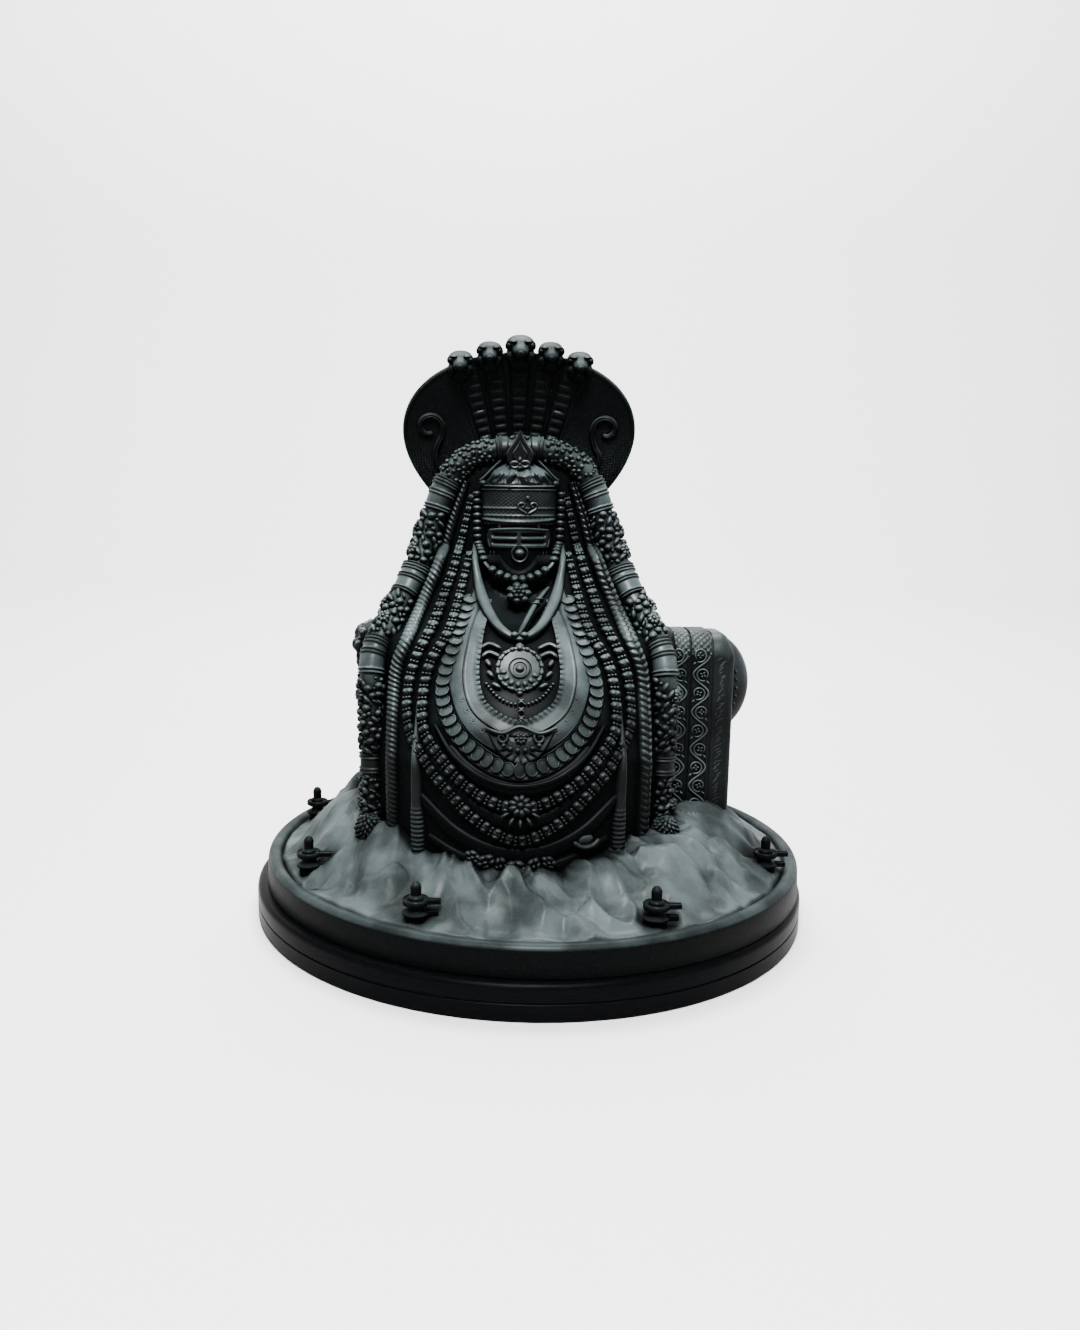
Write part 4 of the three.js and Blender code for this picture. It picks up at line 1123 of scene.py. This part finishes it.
def garland_half(seed):
    """The right half of the garland: packed buds and leaves, a few roses, sleeves and a bun at its foot."""
    chance = np.random.default_rng(seed)
    places, ways, radii, run = garland_line(0.12)
    length = run[-1]
    sleeves = [(share * length - span / 2, span) for share, span in GARLAND_SLEEVES]
    forms = [strand(places[::4], ways[::4], oval(20) * (radii[::4] * 0.84)[:, None, None])]
    forms += [sleeve(places, ways, radii, run, start, span) for start, span in sleeves]
    arch_end = 0.19 * length

    def most(at):
        return ARCH_BUD_SIZE if at < arch_end else BUD_SIZES[1]

    sizes = chance.uniform(*BUD_SIZES, 9000)
    spots = scattered(length, 2 * np.pi * GARLAND_RADIUS, sizes, most, chance)
    at, margin = spots[:, 0], 0.35
    bound = [(at > start - margin) & (at < start + span + margin) for start, span in sleeves]
    spots = spots[~np.any(bound, axis=0)]
    turn = spots[:, 1] / GARLAND_RADIUS
    spots, turn = spots[np.sin(turn) > -0.8], turn[np.sin(turn) > -0.8]
    i = np.searchsorted(run, spots[:, 0]).clip(0, len(run) - 1)
    out = np.cos(turn)[:, None] * ways[i, :, 1] + np.sin(turn)[:, None] * ways[i, :, 2]
    size = spots[:, 2]
    leafy = (chance.uniform(0, 1, len(size)) < 0.4) & (spots[:, 0] > arch_end) & (size > 0.6)
    leaf_spin = np.sign(np.cos(turn)) * chance.uniform(0.3, 1.1, len(size))
    spin = np.where(leafy, leaf_spin, chance.uniform(0, 3, len(size)))
    long = np.where(leafy, 1.55, chance.uniform(0.95, 1.2, len(size)))
    stretch = np.stack([size * long, size * np.where(leafy, 0.62, 1), size * np.where(leafy, 0.95, 1)], -1)
    seats = places[i] + out * (radii[i] * 0.9 - 0.1)[:, None]
    forms.append(stamp(ball(8, 5), seats, turned_out(ways[i, :, 0], out, spin), stretch))
    for share, turn in GARLAND_ROSES:
        k = int(share * (len(run) - 1))
        away = (np.cos(turn) * ways[k, :, 1] + np.sin(turn) * ways[k, :, 2])[None]
        way = turned_out(ways[k:k + 1, :, 0], away, np.zeros(1))
        forms.append(stamp(flower(8, 5, 8), places[k] + away * (radii[k] + 0.05), way, 1.75))
    bun = places[-1] + [wide(1), -wide(12), wide(9)]
    count = 105
    z = 1 - 2 * (np.arange(count) + 0.5) / count
    spin = np.arange(count) * 2.39996
    out = np.stack([np.sqrt(1 - z * z) * np.cos(spin), np.sqrt(1 - z * z) * np.sin(spin), z], -1)
    across = unit(np.cross([0.1, 0.2, 1], out))
    forms.append(moved(ball(20, 12), bun, GARLAND_RADIUS * 0.85))
    size = chance.uniform(0.5, 0.8, (count, 1)) * [1.4, 0.8, 1]
    forms.append(stamp(ball(7, 4), bun + out * GARLAND_RADIUS * 0.88, turned_out(across, out, spin), size))
    return merged(forms)


def make_garland(paint):
    """Thick flower garland over the crown and down both sides."""
    points, faces = garland_half(4)
    piece("garland_left", [(points * [-1, 1, 1], faces)], paint)
    piece("garland_right", [garland_half(5)], paint)


def make_shoulder_knot(paint):
    """Loose leaves on the pedestal's wall, behind the garland on the left shoulder."""
    chance = np.random.default_rng(12)
    turn = np.radians(chance.uniform(-108, -74, 46))
    z = tall(chance.uniform(36, 49.5, 46))
    spots = polar(pedestal_radius(turn, z) - 0.2, turn, z)
    out = unit(spots * [1, 1, 0])
    along = np.broadcast_to([0.0, 0.0, 1.0], out.shape)
    size = chance.uniform(0.9, 1.7, (46, 1)) * [1.3, 0.75, 0.8]
    forms = [stamp(ball(9, 6), spots, turned_out(along, out, chance.uniform(-0.9, 0.9, 46)), size)]
    piece("shoulder_knot", forms, paint)


def make_ropes(paint):
    """A finely twisted cord on the left and a plaited one on the right, each widest about half way down."""
    turn = np.arange(24) * 2 * np.pi / 24
    across, out = np.cos(turn), np.sin(turn)
    for name, side in (("twisted_rope", -1), ("plaited_rope", 1)):
        places, ways = laid(front, in_mm(ROPE) * [side, 1], 0.2, 0.5)
        run = travel(places)[:, None]
        share = run[:, 0] / run[-1]
        width = ROPE_WIDTH * np.interp(share, [0, 0.12, 0.45, 1], [0.26, 0.4, 0.56, 0.48])
        if side < 0:
            lay = 1 - 0.16 * np.abs(np.sin(1.5 * turn + run * np.pi / 1.25)) ** 0.7
            section = np.stack([across * lay * width[:, None], out * lay * 1.8], -1)
        else:
            lobes = np.abs(np.sin(np.pi * (run / 1.7 + 0.6 * np.abs(across)))) ** 0.6
            plait = lobes * 0.5 - 0.55 * bump(0, 0.14, across)
            top = np.maximum(out, 0)
            height = np.where(out > 0, 1.4 * top + plait * top ** 0.3, 1.8 * out)
            section = np.stack([across * width[:, None], height], -1)
        piece(name, [strand(places, ways, section)], paint)


BARREL = lathe([
    [0.25, -0.5], [0.42, -0.45], [0.5, -0.28], [0.52, 0], [0.5, 0.28], [0.42, 0.45], [0.25, 0.5],
], 12)


def bead_strand(flat, widths, proud):
    """Barrel beads on a cord, with small pearls between them. widths run from its ends to its middle."""
    places, ways = laid(front, flat, BEAD_PITCH / 2, proud)
    share = 1 - np.abs(np.linspace(-1, 1, len(places)))
    width = np.interp(share, np.linspace(0, 1, len(widths)), widths)
    barrels, rows = slice(0, None, 2), slice(1, None, 2)
    lying = ways[barrels][:, :, [1, 2, 0]]
    chance = np.random.default_rng(6)
    plump = chance.uniform(0.85, 1.12, (2, len(lying)))
    size = np.stack([width[barrels] * 0.8, np.full(len(lying), 1.9), plump[0] * BEAD_PITCH * 0.6], -1)
    forms = [stamp(BARREL, places[barrels], lying, size)]
    for lane, fullness in ((-1, plump[0]), (1, plump[1])):
        spots = places[barrels] + ways[barrels][:, :, 1] * (lane * width[barrels] * 0.27)[:, None]
        lobe = np.stack([fullness * BEAD_PITCH * 0.33, width[barrels] * 0.27, fullness], -1)
        forms.append(stamp(ball(10, 7), spots + ways[barrels][:, :, 2] * 0.15, ways[barrels], lobe))
    for lane in (-1, 0, 1):
        aside = ways[rows][:, :, 1] * (lane * width[rows] * 0.33)[:, None]
        spots = places[rows] + aside + ways[rows][:, :, 2] * 0.45
        forms.append(stamp(ball(8, 5), spots, ways[rows], 0.46 - 0.04 * abs(lane)))
    forms.append(strand(places, ways, oval(8) * [0.5, 0.5] - [0, 0.3]))
    return merged(forms)


def make_bead_strands(paint):
    outer, inner = both_sides(in_mm(OUTER_BEADS)), both_sides(in_mm(INNER_BEADS))
    piece("outer_bead_strand", [bead_strand(outer, [1.6, 2.2, 2.9, 2.7, 2.6, 2.8, 2.8], 0.95)], paint)
    piece("inner_bead_strand", [bead_strand(inner, [1.8, 2.4, 2.8, 2.7, 2.7, 2.8], 1.1)], paint)


def make_foot_clusters(paint):
    """Clusters of small flowers where the dress meets the ground."""
    forms = []
    clusters = (
        (-10.5, -1.2, 1), (-7.6, -2.2, 1.2), (-4, -3, 1.1), (-0.5, -3.4, 1.3), (3.4, -3, 1.1), (7, -2.2, 1),
    )
    for x, z, size in clusters:
        place, way = set_on(front, x, z, 1.1, x * 20)
        forms.append(stamp(flower(5, 4, 7), place, way, np.array([2.2, 1.6, 2.2]) * size))
    piece("foot_clusters", forms, paint)


def ribbon(flat, half_width, relief, spacing=0.3, columns=20, proud=0.4, ends=0.5):
    """A flat band along a path: relief gives its height from the run along and the share across, -1 to 1."""
    places, ways = laid(front, flat, spacing, proud)
    share = np.linspace(0, 1, len(places))
    half = half_width * lerp(ends, 1, np.clip(np.minimum(share, 1 - share) * 4, 0, 1) ** 0.6)
    across = np.linspace(-1, 1, columns)
    out = relief(travel(places)[:, None], across) * np.ones((len(places), 1))
    top = np.stack(np.broadcast_arrays(across * half[:, None], out), -1)
    under = np.stack(np.broadcast_arrays(across[::-1] * half[:, None], np.full(top.shape[:2], -0.9)), -1)
    return strand(places, ways, np.concatenate([top, under], axis=1))


COIN = lathe([[1, -0.3], [1, 0.22], [0.93, 0.3], [0.84, 0.26], [0.78, 0.14], [0.4, 0.2], [0.05, 0.24]], 20)


def make_bands(paint):
    """The band of overlapping coins, the smooth band inside it and the ruffled one inside that."""
    def edged(run, across):
        return 0.25 * bump(-0.9, 0.08, across) + 0.25 * bump(0.9, 0.08, across)

    coin_path = both_sides(in_mm(COIN_BAND))
    forms = [ribbon(coin_path, COIN_WIDTH / 2, edged, 0.5)]
    places, ways = laid(front, coin_path, COIN_PITCH, 0.95)
    lean = np.radians(17) * np.sign(-places[:, 0])[:, None]
    along, side, out = ways[:, :, 0], ways[:, :, 1], ways[:, :, 2]
    tilted = np.stack([
        along * np.cos(lean) + out * np.sin(lean), side, out * np.cos(lean) - along * np.sin(lean),
    ], -1)
    forms.append(stamp(COIN, places, tilted, (1.62, 1.78, 1.0)))
    piece("coin_band", forms, paint)

    def smooth(run, across):
        return 0.4 * (1 - across ** 2) + 0.4 * bump(-0.86, 0.06, across) + 0.2 * bump(0.88, 0.08, across)

    middle_path = both_sides(in_mm(MIDDLE_BAND))
    forms = [ribbon(middle_path, 2.7, smooth, 0.4, 26, 0.5)]
    places, ways = laid(front, middle_path, 3.3, 0.8)
    low = places[:, 2] < tall(39)
    forms.append(stamp(flower(7, 3, 6), places[low], ways[low], (0.95, 0.95, 0.55)))
    piece("smooth_band", forms, paint)

    def ruffled(run, across):
        ruffle = np.abs(np.sin(np.pi * run / 1.5)) ** 0.8 * ease(0.2, 0.9, across)
        return 0.5 + 0.35 * ruffle + 0.25 * bump(-0.88, 0.08, across)

    inner_path = both_sides(in_mm(INNER_BAND))
    piece("ruffled_band", [ribbon(inner_path, 2.1, ruffled, 0.24, 20, 0.6)], paint)


def make_swags(paint):
    """Smooth cloth swags that hang between the strands in front."""
    def rounded(run, across):
        return 0.6 * np.sqrt(np.clip(1 - across ** 2, 0, 1))

    swags = (
        ([[22.6, 24], [17.5, 17.5], [10, 10.5], [0, 7.2]], 1.5, 0.4),
        ([[16.5, 24.5], [12.8, 20.6], [7, 17.2], [0, 15.8]], 1.7, 0.4),
        ([[20, 29], [15.5, 22.7], [8, 18], [0, 16.5]], 0.8, 0.7),
        ([[24, 12], [16, 4.5], [8, 0.6], [0, -0.6]], 1.9, 0.4),
        ([[21.5, 2], [15, -1.6], [8, -4], [0, -5]], 1.6, 0.3),
    )
    forms = [ribbon(both_sides(half), width, rounded, 0.5, 14, proud) for half, width, proud in swags]
    piece("swags", forms, paint)


def make_collar(paint):
    """Discs strung round the linga's face, flowers at the bottom, and a flower pendant."""
    path = both_sides(in_mm(COLLAR))
    disc = lathe([[0.3, -0.5], [0.8, -0.45], [1, -0.15], [1, 0.15], [0.8, 0.45], [0.3, 0.5]], 14)
    places, ways = laid(front, path, 1.84, 1.0)
    upper = places[:, 2] > tall(68)
    forms = [stamp(disc, places[upper], ways[upper][:, :, [1, 2, 0]], (1.2, 1.1, 1.3))]
    places, ways = laid(front, path, 2.2, 0.9)
    lower = places[:, 2] < tall(68)
    forms.append(stamp(ball(14, 7), places[lower], ways[lower], (1.1, 1.25, 1)))
    forms.append(stamp(ball(8, 5), places[lower] - [0, 0, 1.2], ways[lower], (0.6, 0.5, 0.8)))
    places, ways = laid(front, path, 0.4, 0.7)
    forms.append(strand(places, ways, oval(6) * [0.5, 0.4]))
    place, way = hung(0.0, 59, -0.3)
    forms.append(stamp(flower(7, 5, 8), place, way, (3.4, 3.4, 3.6)))
    forms.append(stamp(flower(6, 5, 8), place + way[:, 2] * 1.1, way, (1.9, 1.9, 2.2)))
    piece("collar", forms, paint)


def make_crescent(paint):
    """Two smooth tusk-shaped horns that meet under a knot, and a rod with a double ring between them."""
    places, ways = laid(front, both_sides(in_mm(CRESCENT)), 0.4, 1.3)
    up = np.abs(np.linspace(-1, 1, len(places)))
    fullness = np.interp(up, [0, 0.12, 0.45, 0.8, 1], [0.5, 0.8, 1, 0.5, 0.12])
    section = oval(16) * np.stack([CRESCENT_WIDTH / 2 * 0.92 * fullness, 0.35 + 0.95 * fullness], -1)[:, None]
    forms = [strand(places, ways, section)]
    for x, z, size in ((-1.2, 48.6, 1.1), (1.2, 48.6, 1.1), (0, 47.6, 0.9)):
        place, way = set_on(front, x, z, 2.1)
        forms.append(stamp(ball(12, 7), place, way, (size, size * 0.8, 0.8)))
    rod = [[7.9, 60.4], [4.4, 56.3], [-0.1, 49.4]]
    forms.append(wire(front, rod, 0.75, 0.4, 0.6, 8, 0.5))
    for z in (56.2, 57.3):
        place, way = set_on(front, 4.4 + (z - 56.2) * 0.8, z, 0.6)
        forms.append(stamp(ball(12, 6), place, way, (1.15, 0.7, 1.1)))
    pearls, ways = laid(front, [[8.6, 58.6], [6.8, 55], [5, 51.6], [3.2, 49.9]], 1.5, 0.4)
    forms.append(stamp(ball(8, 5), pearls, ways, (0.8, 0.5, 0.6)))
    piece("crescent_and_rod", forms, paint)


def make_medallion(paint):
    """Round medallion with a ring, petals and a smooth upper half, between wings and strings of pearls."""
    place, way = hung(0.0, 41.7, 1.6)
    rings = [[5.8, -3], [5.8, 0.1], [5.6, 0.45], [5.2, 0.5], [4.9, 0.2], [2.9, 0.5], [2.7, 0.15], [2.5, 0.15],
             [2.3, 0.85], [1.7, 0.95], [1.5, 0.55], [1.1, 0.55], [0.95, 0.9], [0.5, 1.15], [0.05, 1.2]]
    forms = [stamp(lathe(rings, 44), place, way)]
    petal = ball(10, 6)
    for k in range(18):
        form = moved(moved(petal, (5.35, 0, 0.25), (0.6, 0.85, 0.5)), spin=20 * k + 10)
        forms.append(stamp(form, place, way))
    for angle in range(-168, 0, 24):
        form = moved(moved(petal, (3.95, 0, 0.35), (0.95, 0.72, 0.45)), spin=angle)
        forms.append(stamp(form, place, way))
    knobs = ((-90, 6, (0.9, 0.8, 0.6)), (90, 5.6, (1.3, 1.1, 0.7)), (90, 3.9, (1.1, 1.5, 0.35)))
    for angle, reach, size in knobs:
        forms.append(stamp(moved(moved(petal, (reach, 0, 0), size), spin=angle), place, way))
    for side in (-1, 1):
        for outer, rise in ((9.6, 0), (9.2, -1.9)):
            wing = [[side * outer, 46.2 + rise], [side * 7.4, 47.2 + rise], [side * 4.6, 46.2 + rise]]
            forms.append(wire(front, wing, 0.6, 0.4, 0.9, 8, 0.4))
        for x, z, spin in ((7.6, 43, 60), (7, 40.6, 45), (5.6, 38.2, 30)):
            spot, turned = set_on(front, side * x, z, 0.9, side * spin)
            forms.append(stamp(petal, spot, turned, (1.3, 0.62, 0.6)))
        string = [[side * 8, 38.6], [side * 5.4, 36], [side * 2.4, 34.6], [0, 34.4]]
        pearls, pearl_ways = laid(front, string, 1.0, 0.7)
        forms.append(stamp(ball(8, 5), pearls, pearl_ways, 0.42))
    piece("medallion", forms, paint)


def make_pendant(paint):
    """Stem of small crosses and the wide pendant below it, with a wavy top, scrolls and an arc of pearls."""
    forms = []
    for z in (34.8, 33, 31.2):
        place, way = set_on(front, 0.3, z, 1.3)
        for spin in (45, 135):
            forms.append(stamp(moved(ball(8, 5), size=(1.1, 0.34, 0.45), spin=spin), place, way))
    outline = np.array([[-8, 29.3], [-4, 28.4], [0, 29.7], [4.4, 28.4], [8.3, 29.4], [7, 26.4], [5.2, 24],
                        [2.8, 22.5], [0.2, 21.8], [-2.4, 22.5], [-4.8, 24], [-6.6, 26.4]])
    dense = smooth_path(np.vstack([outline, outline[:1]]), 5)[:-1]
    middle = np.array([0.2, 26.3])
    rings = []
    for share, proud in ((1.04, -0.6), (1.0, 1.1), (0.92, 1.5), (0.84, 1.0), (0.5, 1.2), (0.02, 1.5)):
        spots = middle + (dense - middle) * share
        rings.append(front(spots[:, 0], spots[:, 1], proud))
    forms.append(skin(np.array(rings)))
    forms.append(wire(front, outline[:5] + [0, -0.3], 0.45, 0.3, 1.9, 8, 0.6))
    for side in (-1, 1):
        curl = spiral(1.3, 1.5, side, 0) + [0.2 + side * 4.3, 27.2]
        forms.append(wire(front, curl, 0.36, 0.3, 1.6, 8, 0.6))
    for angle in np.radians(np.arange(-66, 67, 22)):
        down = np.array([np.sin(angle), -np.cos(angle)])
        forms.append(wire(front, [middle + down * 2.8, middle + down * [5.6, 4.4]], 0.3, 0.3, 1.5, 6, 0.6))
    arc = [[-3.7, 25.4], [-1.8, 24.6], [0.3, 24.4], [2.4, 24.7], [4.3, 25.5]]
    pearls, pearl_ways = laid(front, arc, 1.55, 1.9)
    forms.append(stamp(ball(10, 6), pearls, pearl_ways, 0.6))
    place, way = set_on(front, 0.2, 27, 1.6)
    forms.append(stamp(flower(8, 4, 8), place, way, 1.5))
    piece("pendant", forms, paint)


def make_star_pendant(paint):
    """Small star below the strands: a bright centre, rays, and a fan of petals that hangs from it."""
    place, way = hung(0.2, 11.2, 1.9)
    forms = [stamp(flower(9, 5, 8), place, way, (2.9, 2.9, 3))]
    ring = moved(ball(8, 5), (1.35, 0, 0.7), 0.42)
    forms += [stamp(moved(ring, spin=40 * k), place, way) for k in range(9)]
    for spin in range(-150, 0, 30):
        forms.append(stamp(moved(moved(ball(8, 5), (4, 0, -0.5), (1.3, 0.5, 0.5)), spin=spin), place, way))
    piece("star_pendant", forms, paint)


def make_rolls(paint):
    """Smooth rolls of cloth inside the ropes, ribbed low down, and a small bowl beside the right one."""
    forms = []
    for side in (-1, 1):
        places, ways = laid(front, in_mm(ROLL) * [side, 1], 0.2, 0.5)
        share = np.linspace(0, 1, len(places))
        ribs = 0.16 * np.abs(np.sin(np.pi * places[:, 2] / 1.15)) * ease(10, 7, places[:, 2])
        half = ROLL_WIDTH * np.interp(share, [0, 0.25, 0.7, 0.9, 1], [0.05, 0.2, 0.36, 0.42, 0.36]) + ribs
        thick = 1.7 * np.clip(share * 3, 0.2, 1) + ribs
        forms.append(strand(places, ways, oval(20) * np.stack([half, thick], -1)[:, None]))
    turn = np.radians(np.linspace(100, 260, 17))
    rim = np.stack([15.8 + 2.7 * np.sin(turn) * 1.1, 3 + 2.2 * np.cos(turn)], -1)
    forms.append(wire(front, rim, 0.75, 0.3, 1.4, 8, 0.5))
    place, way = set_on(front, 15.8, 2.2, 0.4)
    forms.append(stamp(ball(16, 8), place, way, (2.4, 1.9, 1)))
    piece("rolls", forms, paint)


# Stage. Each light has its place, what it is aimed at, its size and its power.
LIGHTS = (
    ("front_overhead_light", (-0.02, -0.36, 0.5), (0.0, -0.02, 0.08), 0.16, 14.0),
    ("rear_overhead_light", (0.0, 0.25, 0.6), (0.0, 0.0, 0.06), 0.3, 5.0),
    ("backdrop_light", (0.0, 0.6, 1.2), (0.0, 1.3, 0.1), 0.9, 90.0),
)
FLOOR_RADIUS = 1.0
FLOOR_SWEEP = 0.5
BACKDROP_HEIGHT = 1.6
WORLD_STRENGTH = 0.03


def make_stage():
    """A pale floor that sweeps up all round, and soft overhead lights."""
    tilt = np.radians(np.linspace(0, 90, 13))
    flat = np.linspace(0.001, FLOOR_RADIUS, 12)[:-1]
    radius = np.concatenate([flat, FLOOR_RADIUS + FLOOR_SWEEP * np.sin(tilt)])
    height = np.concatenate([np.zeros(len(flat)), FLOOR_SWEEP * (1 - np.cos(tilt))])
    radius, height = np.append(radius, radius[-1]), np.append(height, BACKDROP_HEIGHT)
    turn = np.linspace(0, 2 * np.pi, 65)
    points, faces = skin(polar(radius[:, None], turn, height[:, None]), closed=False)
    mesh = bpy.data.meshes.new("floor")
    mesh.from_pydata(points.tolist(), [], faces.tolist())
    mesh.shade_smooth()
    mesh.materials.append(floor_paint())
    floor = bpy.data.objects.new("floor", mesh)
    bpy.context.collection.objects.link(floor)
    for name, place, aim, size, power in LIGHTS:
        lamp = bpy.data.lights.new(name, "AREA")
        lamp.size = size
        lamp.energy = power
        light = bpy.data.objects.new(name, lamp)
        light.location = place
        light.rotation_euler = (Vector(aim) - Vector(place)).to_track_quat("-Z", "Y").to_euler()
        bpy.context.collection.objects.link(light)
    world = bpy.data.worlds.new("studio")
    world.use_nodes = True
    background = world.node_tree.nodes["Background"]
    background.inputs["Color"].default_value = (1, 1, 1, 1)
    background.inputs["Strength"].default_value = WORLD_STRENGTH
    bpy.context.scene.world = world


CAMERA_PLACE = (-0.0112, -0.2868, 0.1134)
CAMERA_PITCH = 9.32
CAMERA_ROLL = 0.554
CAMERA_LENS = 28.42
CAMERA_SHIFT = 0.0381


def make_camera():
    """A camera at the photograph's viewing angle, about 29 cm away and looking 9 degrees down."""
    data = bpy.data.cameras.new("camera")
    data.lens = CAMERA_LENS
    data.sensor_width = 36
    data.shift_x = CAMERA_SHIFT
    data.clip_start = 0.01
    camera = bpy.data.objects.new("camera", data)
    pitch = Matrix.Rotation(np.radians(90 - CAMERA_PITCH), 4, "X")
    roll = Matrix.Rotation(np.radians(CAMERA_ROLL), 4, "Z")
    camera.matrix_world = Matrix.Translation(CAMERA_PLACE) @ (pitch @ roll)
    bpy.context.collection.objects.link(camera)
    bpy.context.scene.camera = camera


make_camera()
make_stage()
make_plinth(plinth_paint())
# Copies of one paint with different amounts of grey: the pedestal, cloak, swags, linga, hood, heads, small
# lingas and rim get darker copies as painted shade, and the vines a lighter one as painted light.
dress = figure_paint("figure_paint_on_the_dress", 1.1, 0.0022, 0.4)
cloth = figure_paint("figure_paint_on_cloth", 0.6, 0.0022, tilt=-0.15)
lace = figure_paint("figure_paint_on_vines", 1.2, 0.001, tilt=-0.5)
rocky = figure_paint("figure_paint_on_rock", 0.8, 0.011, index=1.08, sheen=0.14, grey=LIT_AND_WORN_ROCK_GREY)
marks = figure_paint("figure_paint_on_the_linga", 0.95, 0.0022, tilt=-0.15)
heads = figure_paint("figure_paint_on_the_heads", 0.6, 0.0016, tilt=-0.25, index=1.06, sheen=0.1)
rim = figure_paint("figure_paint_on_the_rim", 0.42, 0.004, tilt=0.2, index=1.08, sheen=0.14)
flowers = figure_paint("figure_paint_on_flowers", 1.2, 0.0018, 0.45, tilt=-0.15)
scaly = figure_paint("figure_paint_on_scales", 0.32, 0.0016, tilt=-0.2, index=1.07)
dim = figure_paint("figure_paint_shaded_darker", 0.16, 0.002, index=1.06)
shaded_paint = figure_paint("figure_paint_shaded_in_hollows", 0.09, 0.004, index=1.05)
for make, paint in (
    (make_ground, rocky), (make_small_lingas, dim), (make_pedestal, shaded_paint), (make_cloak, shaded_paint),
    (make_drum, rim), (make_hair_cap, dress), (make_leaf, dress), (make_hood, scaly), (make_heads, heads),
    (make_garland, flowers), (make_shoulder_knot, dress), (make_ropes, dress), (make_bead_strands, dress),
    (make_foot_clusters, dress), (make_bands, dress), (make_swags, shaded_paint), (make_collar, dress),
    (make_crescent, dress), (make_medallion, dress), (make_pendant, dress), (make_star_pendant, dress),
    (make_rolls, cloth),
):
    make(paint)
make_linga(marks, shaded_paint)
make_spout(cloth, lace)
